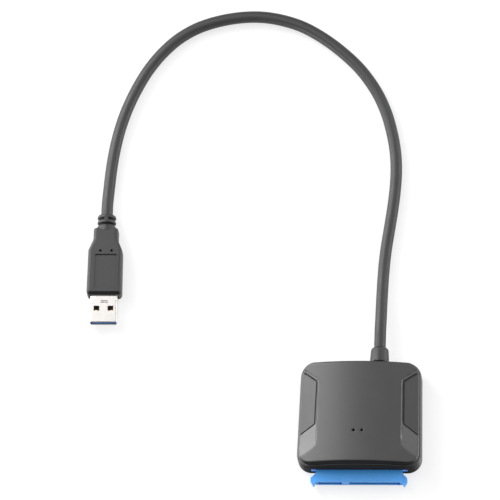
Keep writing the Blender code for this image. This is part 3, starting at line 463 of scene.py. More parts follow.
def refine(node, surface, width, steps=2):
    """A copy of a CAD node with its flats joined and its edges softened."""
    bm = bmesh.new()
    bm.from_mesh(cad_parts[node].data)
    bmesh.ops.remove_doubles(bm, verts=bm.verts, dist=MERGE)
    bmesh.ops.dissolve_limit(bm, angle_limit=math.radians(1), verts=bm.verts, edges=bm.edges)
    piece = make_piece(node + "_fine", bm, surface, (node,))
    soften(piece, width, steps)
    shade(piece, 40)
    return piece


def loft(bm, rings, close=True):
    """Faces between rings of points, with both ends closed where wanted."""
    made = [[bm.verts.new(Vector(point) * MM) for point in ring] for ring in rings]
    for lower, upper in zip(made, made[1:]):
        for i in range(len(lower)):
            j = (i + 1) % len(lower)
            bm.faces.new((lower[i], lower[j], upper[j], upper[i]))
    if close:
        bm.faces.new(list(reversed(made[0])))
        bm.faces.new(made[-1])


def finish_shell(bm):
    """Joins the parts of a surface and turns every face outwards."""
    bmesh.ops.remove_doubles(bm, verts=bm.verts, dist=MERGE)
    bmesh.ops.recalc_face_normals(bm, faces=bm.faces)


def add_box(bm, low, high):
    (x0, y0, z0), (x1, y1, z1) = low, high
    loft(bm, [[(x0, y0, z), (x1, y0, z), (x1, y1, z), (x0, y1, z)] for z in (z0, z1)])


def rounded_plan(x, y, wide, deep, corner, steps=5):
    """A rectangle with round corners in plan."""
    points = []
    for quarter in range(4):
        side_x = (1, -1, -1, 1)[quarter] * (wide / 2 - corner)
        side_y = (1, 1, -1, -1)[quarter] * (deep / 2 - corner)
        for i in range(steps + 1):
            turn = math.pi / 2 * (quarter + i / steps)
            points.append((x + side_x + corner * math.cos(turn), y + side_y + corner * math.sin(turn)))
    return points


def add_prism(bm, plan, low, high):
    loft(bm, [[(x, y, z) for x, y in plan] for z in (low, high)])


def turned(bm, centre, axis, profile, sides=40):
    """A solid turned about a line along Y or Z; the profile holds the place on the line and the radius."""
    rings = []
    for at, radius in profile:
        ring = []
        for i in range(sides):
            u = radius * math.cos(2 * math.pi * i / sides)
            v = radius * math.sin(2 * math.pi * i / sides)
            if axis == "Y":
                ring.append((centre[0] + u, at, centre[1] + v))
            else:
                ring.append((centre[0] + u, centre[1] + v, at))
        rings.append(ring)
    loft(bm, rings)


# Housing


def crown(x):
    """Height of the housing's roof, which is an arch across its width."""
    return cover_high.z - x * x / (2 * CROWN_RADIUS)


def under_crown(drop):
    """Height over plan at a drop below the arch, as a function."""
    return lambda x, y: crown(x) - drop


def arc(centre, radius, start, end):
    """Points and outward directions along an arc, in degrees."""
    for i in range(CORNER_STEPS + 1):
        turn = math.radians(start + (end - start) * i / CORNER_STEPS)
        way = Vector((math.cos(turn), math.sin(turn)))
        yield centre + radius * way, way


def housing_outline():
    """The cover's outline, anticlockwise, as points with their outward directions."""
    front, rear = cover_low.y, cover_high.y
    slope = (cover_high.x - REAR_HALF) / (rear - front)
    lean = math.degrees(math.atan(slope))
    side = Vector((1, slope)).normalized()
    reach = side.dot(Vector((cover_high.x, front)))

    def centre(y):
        return Vector(((reach - CORNER - side.y * y) / side.x, y))

    first = list(arc(centre(front + CORNER), CORNER, -90, lean))
    second = list(arc(centre(rear - CORNER), CORNER, lean, 90))
    right = straight(first[-1], second[0])
    half = [*first, *right, *second]
    mirrored = [(Vector((-p.x, p.y)), Vector((-n.x, n.y))) for p, n in reversed(half)]
    return half + straight(half[-1], mirrored[0]) + mirrored + straight(mirrored[-1], half[0])


def straight(start, end):
    """Even steps between two outline points, without the two."""
    (a, way), (b, _) = start, end
    count = round((b - a).length / EDGE_PITCH)
    return [(a.lerp(b, i / count), way) for i in range(1, count)]


OUTLINE = housing_outline()


def inset_ring(inset, height):
    """The outline moved in; inset may depend on the outward direction, and height on the place in plan."""
    ring = []
    for point, way in OUTLINE:
        move = inset(way) if callable(inset) else inset
        x, y = point - way * move
        ring.append((x, y, height(x, y) if callable(height) else height))
    return ring


def plane_height(a, b, c):
    """Height over plan of the plane through three points, as a function."""
    a, b, c = Vector(a), Vector(b), Vector(c)
    normal = (b - a).cross(c - a)
    return lambda x, y: a.z - (normal.x * (x - a.x) + normal.y * (y - a.y)) / normal.z


def on_roof(plan):
    return (*plan, crown(plan[0]))


def on_pad(plan):
    return (*plan, crown(plan[0]) - POCKET_DEPTH)


PAD = plane_height(on_pad(PAD_REAR_INNER), on_pad(PAD_FRONT_INNER), on_pad(PAD_FRONT_OUTER))
RAMP = plane_height(on_roof(FRONT_INNER), on_roof(FRONT_OUTER), on_pad(PAD_FRONT_INNER))


def pocket_wall(a, b, chamfer):
    """Height of a pocket's wall under the roof's line from a to b: a chamfer, and a steep face below it."""
    way = (Vector(b) - Vector(a)).normalized()
    inward = Vector((-way.y, way.x, 0))
    width, drop = chamfer
    ends = [Vector(on_roof(a)), Vector(on_roof(b))]
    middle = [end + inward * width - Vector((0, 0, drop)) for end in ends]
    foot = middle[0] + inward * STEEP_WIDTH - Vector((0, 0, POCKET_DEPTH))
    upper, lower = plane_height(*ends, middle[0]), plane_height(*middle, foot)
    return lambda x, y: min(upper(x, y), lower(x, y))


REAR_WALL = pocket_wall(REAR_OUTER, REAR_INNER, REAR_CHAMFER)
INNER_WALL = pocket_wall(REAR_INNER, FRONT_INNER, INNER_CHAMFER)


def smooth_min(a, b, softness):
    return min(a, b) - max(softness - abs(a - b), 0) ** 2 / (4 * softness)


def smooth_max(a, b, softness):
    return -smooth_min(-a, -b, softness)


def line_distance(x, y, a, b):
    point, a, b = Vector((x, y)), Vector(a), Vector(b)
    way = b - a
    share = clamp((point - a).dot(way) / way.length_squared, 0, 1)
    return (point - a - way * share).length


def panel_corners():
    """Corners of the groove's middle line: the pocket's floor with a margin, run out past the side."""
    corners = [Vector(p) for p in (PAD_REAR_INNER, PAD_FRONT_INNER, PAD_FRONT_OUTER, PAD_REAR_OUTER)]
    moved = []
    for i, corner in enumerate(corners):
        before = (corner - corners[i - 1]).normalized()
        after = (corners[(i + 1) % 4] - corner).normalized()
        inward = [Vector((-way.y, way.x)) for way in (before, after)]
        moved.append(corner + (inward[0] + inward[1]) * GROOVE_MARGIN / (1 + inward[0].dot(inward[1])))
    return moved


PANEL = panel_corners()
GROOVES = [(PANEL[i - 1], PANEL[i]) for i in range(len(GROOVE_DEPTHS))]


def roof(x, y):
    """Height of the cover's outer face over plan, with its pockets and grooves."""
    x = abs(x)
    floor = smooth_max(PAD(x, y), RAMP(x, y), RAMP_SOFTNESS)
    walls = max(INNER_WALL(x, y), REAR_WALL(x, y))
    steep = walls > floor
    floor = smooth_max(floor, INNER_WALL(x, y), FOOT_SOFTNESS)
    floor = smooth_max(floor, REAR_WALL(x, y), FOOT_SOFTNESS)
    height = smooth_min(crown(x), floor, WALL_SOFTNESS if steep else RAMP_SOFTNESS)
    if crown(x) - height > POCKET_DEPTH / 3:
        cuts = []
        for (a, b), depth in zip(GROOVES, GROOVE_DEPTHS):
            away = line_distance(x, y, a, b)
            cuts.append(depth * clamp((GROOVE_HALF + GROOVE_FLANK - away) / GROOVE_FLANK, 0, 1))
        height -= max(cuts)
    return height


def crease_lines():
    """Lines along every edge of the right pocket, a few side by side, as pairs of plan points."""
    rear_way = (Vector(REAR_OUTER) - Vector(REAR_INNER)).normalized()
    edges = [
        (REAR_OUTER, REAR_INNER),
        (REAR_INNER, FRONT_INNER),
        (FRONT_INNER, FRONT_OUTER),
        (PAD_REAR_INNER, PAD_FRONT_INNER),
        (PAD_FRONT_INNER, PAD_FRONT_OUTER),
        (PAD_REAR_INNER, Vector(PAD_REAR_INNER) + rear_way * PAD_REAR_LENGTH),
    ]
    groove = (-GROOVE_HALF - GROOVE_FLANK, -GROOVE_HALF, GROOVE_HALF, GROOVE_HALF + GROOVE_FLANK)
    for group, offsets in (
        (edges, CREASE_OFFSETS),
        (edges[:1], (REAR_CHAMFER[0], REAR_CHAMFER[0] + STEEP_WIDTH)),
        (edges[1:2], (INNER_CHAMFER[0], INNER_CHAMFER[0] + STEEP_WIDTH)),
        (GROOVES, groove),
    ):
        for a, b in group:
            a, b = Vector(a), Vector(b)
            way = (b - a).normalized()
            across = Vector((-way.y, way.x))
            for offset in offsets:
                yield a + across * offset, b + across * offset


def sheet(bm, rim, holes, lines, height):
    """Triangles over plan inside the rim and outside round holes, with edges along the lines."""
    outer = [Vector(p[:2]) for p in rim]
    points = list(outer)
    edges = []
    for centre, radius in holes:
        start = len(points)
        points.extend(Vector(p[:2]) for p in hole_ring(centre, radius, height))
        edges.extend((start + i, start + (i + 1) % LAMP_SIDES) for i in range(LAMP_SIDES))
    for a, b in lines:
        count = max(round((b - a).length / SHEET_PITCH), 1)
        row = [a.lerp(b, i / count) for i in range(count + 1)]
        row = [p for p in row if inside(p, outer)]
        start = len(points)
        points.extend(row)
        edges.extend((start + i, start + i + 1) for i in range(len(row) - 1))
    points.extend(filling(outer, list(points), holes))
    found = delaunay_2d_cdt(points, edges, [list(range(len(rim)))], 1, 0.0005)
    made = [bm.verts.new((p.x * MM, p.y * MM, height(p.x, p.y) * MM)) for p in found[0]]
    for corners in found[2]:
        middle = sum((found[0][i] for i in corners), Vector((0, 0))) / len(corners)
        if all((middle - Vector(c)).length > r * math.cos(math.pi / LAMP_SIDES) for c, r in holes):
            bm.faces.new([made[i] for i in corners])
    for vert in [v for v in made if not v.link_faces]:
        bm.verts.remove(vert)


def inside(point, rim):
    """True if the point lies inside the closed rim."""
    within = False
    for a, b in zip(rim, rim[1:] + rim[:1]):
        if (a.y > point.y) != (b.y > point.y):
            if point.x < a.x + (point.y - a.y) / (b.y - a.y) * (b.x - a.x):
                within = not within
    return within


def filling(rim, near, holes):
    """A honeycomb of points inside the rim that keeps off the holes and the points already there."""
    cell = SHEET_PITCH * 0.7
    taken = {(math.floor(p.x / cell), math.floor(p.y / cell)) for p in near}
    low_x, high_x = min(p.x for p in rim), max(p.x for p in rim)
    low_y, high_y = min(p.y for p in rim), max(p.y for p in rim)
    rows = math.ceil((high_y - low_y) / (SHEET_PITCH * ROW_SHARE))
    columns = math.ceil((high_x - low_x) / SHEET_PITCH)
    for row in range(rows):
        for column in range(columns):
            x = low_x + (column + 0.5 * (row % 2)) * SHEET_PITCH
            y = low_y + row * SHEET_PITCH * ROW_SHARE
            square = (math.floor(x / cell), math.floor(y / cell))
            if square in taken or not inside(Vector((x, y)), rim):
                continue
            if all((Vector((x, y)) - Vector(c)).length > r + cell for c, r in holes):
                yield Vector((x, y))


def quarter_round(radius, steps=5):
    """Inset and drop along a round edge, from the top inwards to the side."""
    for i in range(1, steps + 1):
        turn = math.pi / 2 * i / steps
        yield radius * (1 - math.sin(turn)), radius * (1 - math.cos(turn))


def lamp_centres():
    return [(LAMP_X + side * LAMP_PITCH / 2, LAMP_Y) for side in (-1, 1)]


def make_cover():
    bm = bmesh.new()

    def fillet(way):
        return FRONT_FILLET + (SIDE_FILLET - FRONT_FILLET) * abs(way.x)

    top = inset_ring(fillet, roof)
    holes = [(centre, LAMP_HOLE / 2 + LAMP_RIM) for centre in lamp_centres()]
    lines = list(crease_lines())
    lines += [(Vector((-a.x, a.y)), Vector((-b.x, b.y))) for a, b in lines]
    sheet(bm, top, holes, lines, roof)

    rings = [top]
    steps = 6
    for i in range(1, steps + 1):
        turn = math.pi / 2 * i / steps
        ring = []
        for (point, way), (_, _, start) in zip(OUTLINE, top):
            radius = fillet(way)
            x, y = point - way * radius * (1 - math.sin(turn))
            ring.append((x, y, start - radius * (1 - math.cos(turn))))
        rings.append(ring)

    lip = BASE_WALL - (cover_low.y - base_low.y) + SEAM
    rings.append(inset_ring(0, under_crown(COVER_SIDE - SEAM_FILLET)))
    rings.append(inset_ring(SEAM_FILLET / 2, under_crown(COVER_SIDE - SEAM_FILLET / 4)))
    rings.append(inset_ring(SEAM_FILLET, under_crown(COVER_SIDE)))
    rings.append(inset_ring(lip, under_crown(COVER_SIDE)))
    rings.append(inset_ring(lip, under_crown(COVER_SIDE + LIP_DEPTH)))
    rings.append(inset_ring(lip + LIP_WALL, under_crown(COVER_SIDE + LIP_DEPTH)))
    ceiling = inset_ring(lip + LIP_WALL, under_crown(ROOF_WALL + POCKET_DEPTH))
    rings.append(ceiling)
    loft(bm, rings, close=False)

    shroud = LAMP_HOLE / 2 + SHROUD_WALL
    sheet(bm, ceiling, [(c, shroud) for c in lamp_centres()], [], under_crown(ROOF_WALL + POCKET_DEPTH))
    for centre in lamp_centres():
        rounds = [(LAMP_HOLE / 2 + LAMP_RIM, 0)]
        rounds += [(LAMP_HOLE / 2 + inset, drop) for inset, drop in quarter_round(LAMP_RIM)]
        tube = []
        for radius, drop in rounds:
            tube.append(hole_ring(centre, radius, lambda x, y, drop=drop: roof(x, y) - drop))
        tube.append(hole_ring(centre, LAMP_HOLE / 2, lambda x, y: SHROUD_LOW))
        tube.append(hole_ring(centre, shroud, lambda x, y: SHROUD_LOW))
        tube.append(hole_ring(centre, shroud, under_crown(ROOF_WALL + POCKET_DEPTH)))
        loft(bm, tube, close=False)
    finish_shell(bm)
    piece = make_piece("cover_moulding", bm, HOUSING, ("top_cover",))
    # Painted shade: the cover's faces that look to the front get the darker, rougher plastic
    paint_front_shade(piece, FRONT_SHADE_Y)
    shade(piece, 48)


def paint_front_shade(piece, y, low=-1.0, high=0.8):
    """Fades the faces before y that look to the front, and tilt from low to high, into painted shade: a
    darker, rougher plastic.
    """
    for surface in FRONT_SHADE_MATERIALS:
        piece.data.materials.append(surface)
    for face in piece.data.polygons:
        normal = face.normal
        if face.center.y < y * MM and normal.y < -0.01 and low < normal.z < high:
            facing = -normal.y / math.hypot(normal.x, normal.y)
            share = clamp((facing - FACING_START) / FACING_SPAN, 0, 1)
            face.material_index = round(share * FRONT_SHADE_STEPS)


def hole_ring(centre, radius, height):
    """Points round a lamp hole; height is a function of the place in plan."""
    ring = []
    for i in range(LAMP_SIDES):
        turn = 2 * math.pi * i / LAMP_SIDES
        x, y = centre[0] + radius * math.cos(turn), centre[1] + radius * math.sin(turn)
        ring.append((x, y, height(x, y)))
    return ring


def make_base():
    bm = bmesh.new()
    flare = cover_low.y - base_low.y
    seam = COVER_SIDE + SEAM

    rings = [inset_ring(BASE_FILLET - flare, base_low.z)]
    for inset, drop in quarter_round(BASE_FILLET, 6):
        rings.append(inset_ring(inset - flare, base_low.z + drop))
    for inset, drop in reversed(list(quarter_round(RIM_FILLET, 6))):
        rings.append(inset_ring(inset - flare, under_crown(seam + drop)))
    rings.append(inset_ring(RIM_FILLET - flare, under_crown(seam)))
    rings.append(inset_ring(BASE_WALL - flare, under_crown(seam)))
    rings.append(inset_ring(BASE_WALL - flare, BASE_FLOOR))
    loft(bm, rings)
    finish_shell(bm)
    piece = make_piece("base_moulding", bm, HOUSING, ("bottom_cover",))

    front = (base_low.y - 1, base_low.y + BASE_WALL + SEAM)
    for half, low in ((block_high.x + SEAM, WING_LOW), (MOUTH_HALF, block_low.z - SEAM)):
        bm = bmesh.new()
        add_box(bm, (-half, front[0], low), (half, front[1], block_high.z + SEAM))
        carve(piece, bm)
    bm = bmesh.new()
    half = block_high.x + SEAM
    low = (-half, front[1] - SEAM, block_low.z - SEAM)
    add_box(bm, low, (half, block_high.y + SEAM, block_high.z + SEAM))
    carve(piece, bm)

    wall = base_high.y - BASE_WALL
    jack_x, jack_z = (jack_low.x + jack_high.x) / 2, (jack_low.z + jack_high.z) / 2
    bm = bmesh.new()
    profile = [
        (wall - 1, JACK_BORE),
        (base_high.y - JACK_RIM, JACK_BORE),
        (base_high.y + JACK_RIM, JACK_BORE + 2 * JACK_RIM),
    ]
    turned(bm, (jack_x, jack_z), "Y", profile, 48)
    carve(piece, bm)
    relief_x, relief_z = (relief_low.x + relief_high.x) / 2, (relief_low.z + relief_high.z) / 2
    bm = bmesh.new()
    outline = [(relief_x + CORD_SLOT, cover_high.z), (relief_x - CORD_SLOT, cover_high.z)]
    for turn in half_turn():
        outline.append((relief_x + CORD_SLOT * math.cos(turn), relief_z + CORD_SLOT * math.sin(turn)))
    loft(bm, [[(x, y, z) for x, z in outline] for y in (wall - 1, base_high.y + 1)])
    carve(piece, bm)

    seat = [(-1, 3.4), (0, SEAT_MOUTH), (SEAT_EDGE, SEAT_RADIUS), (BASE_FLOOR + 1, SEAT_RADIUS)]
    for node in ("case_screw_1", "case_screw_2"):
        screw_low, screw_high = (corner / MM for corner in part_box(node))
        centre = ((screw_low.x + screw_high.x) / 2, (screw_low.y + screw_high.y) / 2)
        bm = bmesh.new()
        turned(bm, centre, "Z", seat)
        carve(piece, bm)
    bm = bmesh.new()
    add_prism(bm, rounded_plan(0, LABEL_Y, *LABEL_SIZE, LABEL_CORNER), -1, LABEL_DEPTH)
    carve(piece, bm)
    # Painted shade: the base's faces that look to the front get the darker, rougher plastic
    paint_front_shade(piece, FRONT_SHADE_Y)
    shade(piece, 30)


def half_turn(steps=24):
    """Angles of the lower half of a circle, from the left round to the right."""
    return [math.pi + math.pi * i / steps for i in range(steps + 1)]


# Cord and strain relief


def smooth_points(route, step):
    """Points a step apart along the smooth curve that passes through the whole route."""
    points = [Vector(point) for point in route]
    ends = [2 * points[0] - points[1], *points, 2 * points[-1] - points[-2]]
    fine = []
    for a, b, c, d in zip(ends, ends[1:], ends[2:], ends[3:]):
        for i in range(24):
            t = i / 24
            bend = 2 * b + (c - a) * t
            bend += (2 * a - 5 * b + 4 * c - d) * t * t + (3 * b - a - 3 * c + d) * t * t * t
            fine.append(bend / 2)
    fine.append(points[-1])
    lengths = [0.0]
    for a, b in zip(fine, fine[1:]):
        lengths.append(lengths[-1] + (b - a).length)
    count = round(lengths[-1] / step)
    picked, at = [], 0
    for i in range(count + 1):
        wanted = lengths[-1] * i / count
        while at < len(fine) - 2 and lengths[at + 1] < wanted:
            at += 1
        share = (wanted - lengths[at]) / (lengths[at + 1] - lengths[at])
        picked.append(fine[at].lerp(fine[at + 1], min(share, 1.0)))
    return picked, lengths[-1]


def make_strain_relief():
    x, z = (relief_low.x + relief_high.x) / 2, (relief_low.z + relief_high.z) / 2
    inner = base_high.y - BASE_WALL - SEAM
    outer = base_high.y + SEAM
    rim, end = RELIEF_ROOT, RELIEF_END
    shoulder, tip = relief_high.y - RELIEF_TIP_LENGTH, relief_high.y
    profile = [
        (inner - 1.5, RELIEF_FLANGE - 0.2),
        (inner - 1.3, RELIEF_FLANGE),
        (inner - 0.2, RELIEF_FLANGE),
        (inner, RELIEF_FLANGE - 0.2),
        (inner, RELIEF_NECK),
        (outer, RELIEF_NECK),
        (outer, rim - 0.25),
        (outer + 0.08, rim - 0.08),
        (outer + 0.25, rim),
    ]
    steps = 8
    for i in range(1, steps + 1):
        profile.append((outer + (shoulder - outer) * i / steps, rim + (end - rim) * i / steps))
    for i in range(1, steps + 1):
        turn = math.pi / 2 * i / steps
        y = shoulder + (tip - shoulder) * 0.72 * math.sin(turn)
        profile.append((y, end - RELIEF_TIP_DROP * (1 - math.cos(turn))))
    cord = CORD_DIAMETER / 2
    profile += [(tip - 0.2, cord + 0.14), (tip, cord + 0.04), (tip, cord - 0.02), (tip - 1.5, cord - 0.02)]
    profile.append((tip - 1.5, 1.0))
    bm = bmesh.new()
    turned(bm, (x, z), "Y", profile, 56)
    finish_shell(bm)
    piece = make_piece("relief_moulding", bm, CORD, ("strain_relief",))
    shade(piece, 40)
    return piece


def make_cord():
    x, z = (relief_low.x + relief_high.x) / 2, (relief_low.z + relief_high.z) / 2
    start = (x, relief_high.y - CORD_HIDDEN, z)
    end = (PLUG_X, BOOT_END_Y - CORD_HIDDEN, PLUG_Z)
    straight_in = (PLUG_X, BOOT_END_Y + CORD_DIAMETER, PLUG_Z - 0.1)
    points, length = smooth_points((start, *CORD_ROUTE, straight_in, end), CORD_STEP)
    curve = bpy.data.curves.new("cord_line", "CURVE")
    curve.dimensions = "3D"
    curve.bevel_depth = CORD_DIAMETER / 2 * MM
    curve.bevel_resolution = CORD_RESOLUTION
    curve.use_fill_caps = True
    line = curve.splines.new("POLY")
    line.points.add(len(points) - 1)
    for point, spot in zip(line.points, points):
        point.co = (*(spot * MM), 1.0)
    curve.materials.append(CORD)
    piece = link("cord", curve)
    line.use_smooth = True
    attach(piece, "root")
    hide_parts("usb_cable")
    return piece, length, start


# USB plug


def along(points, y):
    """Height of a line of points at y, held level past its ends."""
    if y <= points[0][0]:
        return points[0][1]
    for (a, low), (b, high) in zip(points, points[1:]):
        if y <= b:
            return low + (high - low) * (y - a) / (b - a)
    return points[-1][1]


def softened(points, y):
    """The same line with each corner rounded by an average over a short stretch."""
    room = min(GRIP_SOFTNESS, abs(y - points[0][0]), abs(points[-1][0] - y))
    steps = [room * i / 6 for i in range(-6, 7)]
    return sum(along(points, y + step) for step in steps) / len(steps)


def cross_ring(y, half_wide, half_high, corner, steps=9):
    """A rounded rectangle across the plug."""
    corner = min(corner, half_wide - 0.01, half_high - 0.01)
    ring = []
    for quarter in range(4):
        side_x = (1, -1, -1, 1)[quarter] * (half_wide - corner)
        side_z = (1, 1, -1, -1)[quarter] * (half_high - corner)
        for i in range(steps + 1):
            turn = math.pi / 2 * (quarter + i / steps)
            x, z = side_x + corner * math.cos(turn), side_z + corner * math.sin(turn)
            ring.append((PLUG_X + x, y, PLUG_Z + z))
    return ring


def boot_profile():
    """The ringed boot: place along the plug and radius."""
    root = GRIP_NECK_Y - BOOT_ROOT
    profile = [(root, 3.0), (root, BOOT_RADIUS - 0.6)]
    start = root + 0.1
    steps = 80
    for i in range(steps + 1):
        y = start + (BOOT_END_Y - start) * i / steps
        radius = BOOT_RADIUS
        for groove in BOOT_GROOVES:
            away = abs(y - groove) / BOOT_GROOVE_HALF
            radius -= BOOT_GROOVE_DEPTH / (1 + away**BOOT_GROOVE_SQUARENESS)
        end = clamp((y - BOOT_END_Y) / BOOT_END_ROUND + 1, 0, 1)
        radius -= BOOT_END_DROP * (1 - math.sqrt(1 - end * end))
        profile.append((y, radius))
    profile.append((BOOT_END_Y, 1.5))
    return profile


def make_grip():
    bm = bmesh.new()
    front, rear = GRIP_PLAN[0][0], GRIP_PLAN[-1][0]
    count = round((rear - front) / GRIP_PITCH)
    stations = [front + (rear - front) * i / count for i in range(count + 1)]
    extra = [front + step for step in (0.08, 0.2, 0.6, 0.95, 1.1, 1.3)]
    extra += [rear - step for step in (0.06, 0.12, 0.2, 0.3)]
    rings = []
    for y in sorted(stations + extra):
        rings.append(cross_ring(y, softened(GRIP_PLAN, y), softened(GRIP_SIDE, y), GRIP_CORNER))
    loft(bm, rings)
    finish_shell(bm)
    piece = make_piece("grip_moulding", bm, CORD, ("plug_grip",))
    bm = bmesh.new()
    turned(bm, (PLUG_X, PLUG_Z), "Y", boot_profile(), 56)
    finish_shell(bm)
    carve(piece, bm, "UNION")
    bm = bmesh.new()
    flat = BOOT_RADIUS - BOOT_BRIDGE_DROP
    plan = rounded_plan(PLUG_X, BOOT_GROOVES[1], *BOOT_BRIDGE, 0.3)
    for low, high in ((2, flat), (-flat, -2)):
        add_prism(bm, plan, PLUG_Z + low, PLUG_Z + high)
    finish_shell(bm)
    carve(piece, bm, "UNION")

    bm = bmesh.new()
    low = (shell_low.x - SEAM, front - 1, shell_low.z - SEAM)
    add_box(bm, low, (shell_high.x + SEAM, front + GRIP_POCKET, shell_high.z + SEAM))
    carve(piece, bm)
    top = PLUG_Z + max(height for _, height in GRIP_SIDE)
    for (low, high), depth, corner in ((PANEL_Y, PANEL_DEPTH, 0.5), (PANEL_SLOT_Y, PANEL_SLOT_DEPTH, 0.25)):
        bm = bmesh.new()
        plan = rounded_plan(PANEL_X, (low + high) / 2, 2 * PANEL_HALF, high - low, corner)
        add_prism(bm, plan, top - depth, top + 1)
        carve(piece, bm)
    radius = DIMPLE_DIAMETER / 2
    profile = [(top - DIMPLE_DEPTH, radius * 0.9), (top - 0.05, radius), (top + 0.2, radius + 0.1)]
    for side in (-1, 1):
        bm = bmesh.new()
        turned(bm, (PANEL_X + side * DIMPLE_PITCH / 2, DIMPLE_Y), "Z", profile, 28)
        carve(piece, bm)
    # Painted shade: the plug's front bevel gets the darker, rougher plastic
    paint_front_shade(piece, front + GRIP_BEVEL, 0.1, 0.95)
    shade(piece, 35)
    return piece


def make_shell():
    bm = bmesh.new()
    half_wide, half_high = (shell_high.x - shell_low.x) / 2, (shell_high.z - shell_low.z) / 2
    tip, root = shell_low.y, shell_high.y
    wall = SHELL_WALL
    edge = [
        (root, wall),
        (tip + 0.35, wall),
        (tip + 0.1, wall * 0.75),
        (tip, wall * 0.55),
        (tip, wall * 0.3),
        (tip + 0.06, wall * 0.08),
        (tip + 0.18, 0.0),
        (root, 0.0),
    ]
    rings = []
    for y, inset in edge:
        rings.append(cross_ring(y, half_wide - inset, half_high - inset, SHELL_CORNER - inset, 7))
    loft(bm, [*rings, rings[0]], close=False)
    finish_shell(bm)
    piece = make_piece("shell_plate", bm, STEEL, ("usb_shell",))
    bm = bmesh.new()
    for side in (-1, 1):
        plan = rounded_plan(PLUG_X + side * LATCH_X, LATCH_Y, *LATCH_HOLE, 0.2)
        add_prism(bm, plan, shell_low.z - 1, shell_high.z + 1)
    carve(piece, bm)
    for y, size in ((STAMP_SLIT_Y, STAMP_SLIT), (STAMP_BAR_Y, STAMP_BAR)):
        bm = bmesh.new()
        plan = rounded_plan(STAMP_X, y, *size, STAMP_CORNER)
        add_prism(bm, plan, shell_high.z - 2 * wall, shell_high.z + 1)
        carve(piece, bm)
    bm = bmesh.new()
    half = SHELL_JOINT / 2
    low = (PLUG_X - half, tip - 1, shell_low.z - 1)
    add_box(bm, low, (PLUG_X + half, root - 1, shell_low.z + 0.2))
    carve(piece, bm)
    shade(piece, 35)
    return piece


def darken_behind(piece, y):
    """Cuts the piece across at y and gives what lies behind the dark carrier's plastic."""
    bm = bmesh.new()
    bm.from_mesh(piece.data)
    everything = [*bm.verts, *bm.edges, *bm.faces]
    bmesh.ops.bisect_plane(bm, geom=everything, plane_co=(0, y * MM, 0), plane_no=(0, 1, 0))
    for face in bm.faces:
        if face.calc_center_median().y > y * MM:
            face.material_index = 1
    bm.to_mesh(piece.data)
    bm.free()
    piece.data.materials.append(CHIP)


# Camera, light and floor


def make_camera():
    a, e, r = (math.radians(v) for v in (CAMERA_AZIMUTH, CAMERA_ELEVATION, CAMERA_ROLL))
    back = Vector((math.sin(a) * math.cos(e), -math.cos(a) * math.cos(e), math.sin(e)))
    level = Vector((math.cos(a), math.sin(a), 0))
    upright = back.cross(level)
    right = math.cos(r) * level - math.sin(r) * upright
    up = math.sin(r) * level + math.cos(r) * upright
    distance = CAMERA_LENS / SENSOR * PICTURE / PIXELS_PER_MM
    across = (SEEN_AT[0] - PICTURE / 2) / PIXELS_PER_MM
    down = (SEEN_AT[1] - PICTURE / 2) / PIXELS_PER_MM
    place = Vector(SEEN_POINT) + back * distance - right * across + up * down
    camera = bpy.data.cameras.new("camera")
    camera.lens = CAMERA_LENS
    camera.sensor_width = SENSOR
    camera.clip_start = 0.1
    camera.clip_end = 100.0
    made = link("camera", camera)
    made.matrix_world = Matrix.Translation(place * MM) @ Matrix((right, up, back)).transposed().to_4x4()
    bpy.context.scene.camera = made


def area_lamp(name, place, target, size, radiance):
    """A softbox of the given width and height in metres; a radiance of 1 is white."""
    lamp = bpy.data.lights.new(name, "AREA")
    lamp.shape = "RECTANGLE"
    lamp.size, lamp.size_y = size
    lamp.energy = radiance * math.pi * size[0] * size[1]
    made = link(name, lamp)
    made.location = place
    made.rotation_mode = "QUATERNION"
    made.rotation_quaternion = (Vector(target) - Vector(place)).to_track_quat("-Z", "Y")


def seen_or_mirrored(tree):
    """1 for what the camera, metal or glass sees, and 0 for what only lights the object."""
    path = tree.nodes.new("ShaderNodeLightPath")
    source = path.outputs["Is Camera Ray"]
    for other in ("Is Glossy Ray", "Is Transmission Ray"):
        either = tree.nodes.new("ShaderNodeMath")
        either.operation = "MAXIMUM"
        tree.links.new(source, either.inputs[0])
        tree.links.new(path.outputs[other], either.inputs[1])
        source = either.outputs[0]
    return source


def make_world():
    world = bpy.data.worlds.new("studio")
    bpy.context.scene.world = world
    world.use_nodes = True
    ground = world.node_tree.nodes["Background"]
    ground.inputs["Color"].default_value = (1.0, 1.0, 1.0, 1.0)
    ground.inputs["Strength"].default_value = WORLD_LIGHT


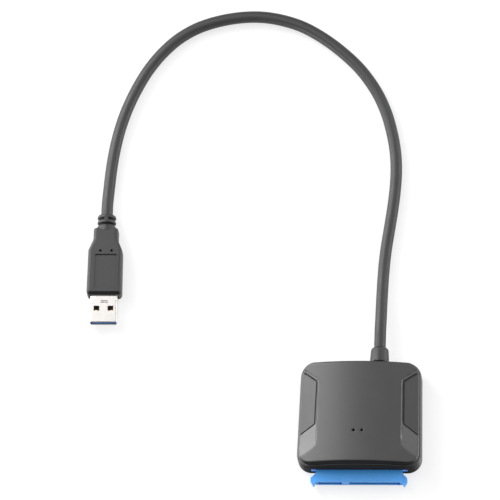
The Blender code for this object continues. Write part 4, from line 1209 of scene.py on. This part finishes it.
def make_floor():
    mesh = bpy.data.meshes.new("floor")
    signs = ((-1, -1), (1, -1), (1, 1), (-1, 1))
    corners = [(x * FLOOR_HALF, y * FLOOR_HALF, FLOOR_LOW) for x, y in signs]
    mesh.from_pydata(corners, [], [(0, 1, 2, 3)])
    floor = link("floor", mesh)
    made = plain_surface("floor_white", FLOOR_COLOUR, 0.9, specular=0.0)
    tree = made.node_tree
    shader = tree.nodes["Principled BSDF"]
    shader.inputs["Emission Color"].default_value = (1.0, 1.0, 1.0, 1.0)
    step = tree.nodes.new("ShaderNodeMapRange")
    step.inputs["To Max"].default_value = FLOOR_GLOW
    tree.links.new(seen_or_mirrored(tree), step.inputs["Value"])
    tree.links.new(step.outputs["Result"], shader.inputs["Emission Strength"])
    mesh.materials.append(made)


def main():
    scene = bpy.context.scene
    scene.view_settings.view_transform = "Standard"
    make_camera()
    make_world()
    make_floor()
    for box in SOFTBOXES:
        area_lamp(*box)
    cord, length, start = make_cord()
    relief = make_strain_relief()
    make_cover()
    make_base()
    grip = make_grip()
    shell = make_shell()
    refine("sata_receptacle", BLUE, 0.1, 3)
    tongue = refine("usb_tongue", DEEP_BLUE, 0.12, 2)
    darken_behind(tongue, CARRIER_Y)
    for name in sorted(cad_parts):
        if "contact" in name:
            piece = refine(name, GOLD, 0.03)
    for name, surface, slot, width in (
        ("circuit_board", BOARD, "board_laminate", 0.08),
        ("bridge_chip", CHIP, "chip_plastic", 0.1),
        ("flash_chip", CHIP, "chip_plastic", 0.1),
        ("voltage_regulator", CHIP, "chip_plastic", 0.1),
        ("power_inductor", CHIP, "chip_plastic", 0.4),
        ("crystal", STEEL, "plated_steel", 0.3),
        ("capacitor_1", STEEL, "plated_steel", 0.3),
        ("capacitor_2", STEEL, "plated_steel", 0.3),
        ("power_lamp", LAMP, "lamp_resin", 0.1),
        ("activity_lamp", LAMP, "lamp_resin", 0.1),
        ("power_jack_body", CHIP, "chip_plastic", 0.12),
        ("power_jack_pin", STEEL, "plated_steel", 0.2),
        ("power_jack_spring", STEEL, "plated_steel", 0.06),
        ("case_screw_1", STEEL, "plated_steel", 0.12),
        ("case_screw_2", STEEL, "plated_steel", 0.12),
        ("power_wire", WIRE, "wire_plastic", 0.02),
        ("data_wire_minus", WIRE, "wire_plastic", 0.02),
        ("data_wire_plus", WIRE, "wire_plastic", 0.02),
        ("ground_wire", WIRE, "wire_plastic", 0.02),
    ):
        refine(name, surface, width)


main()
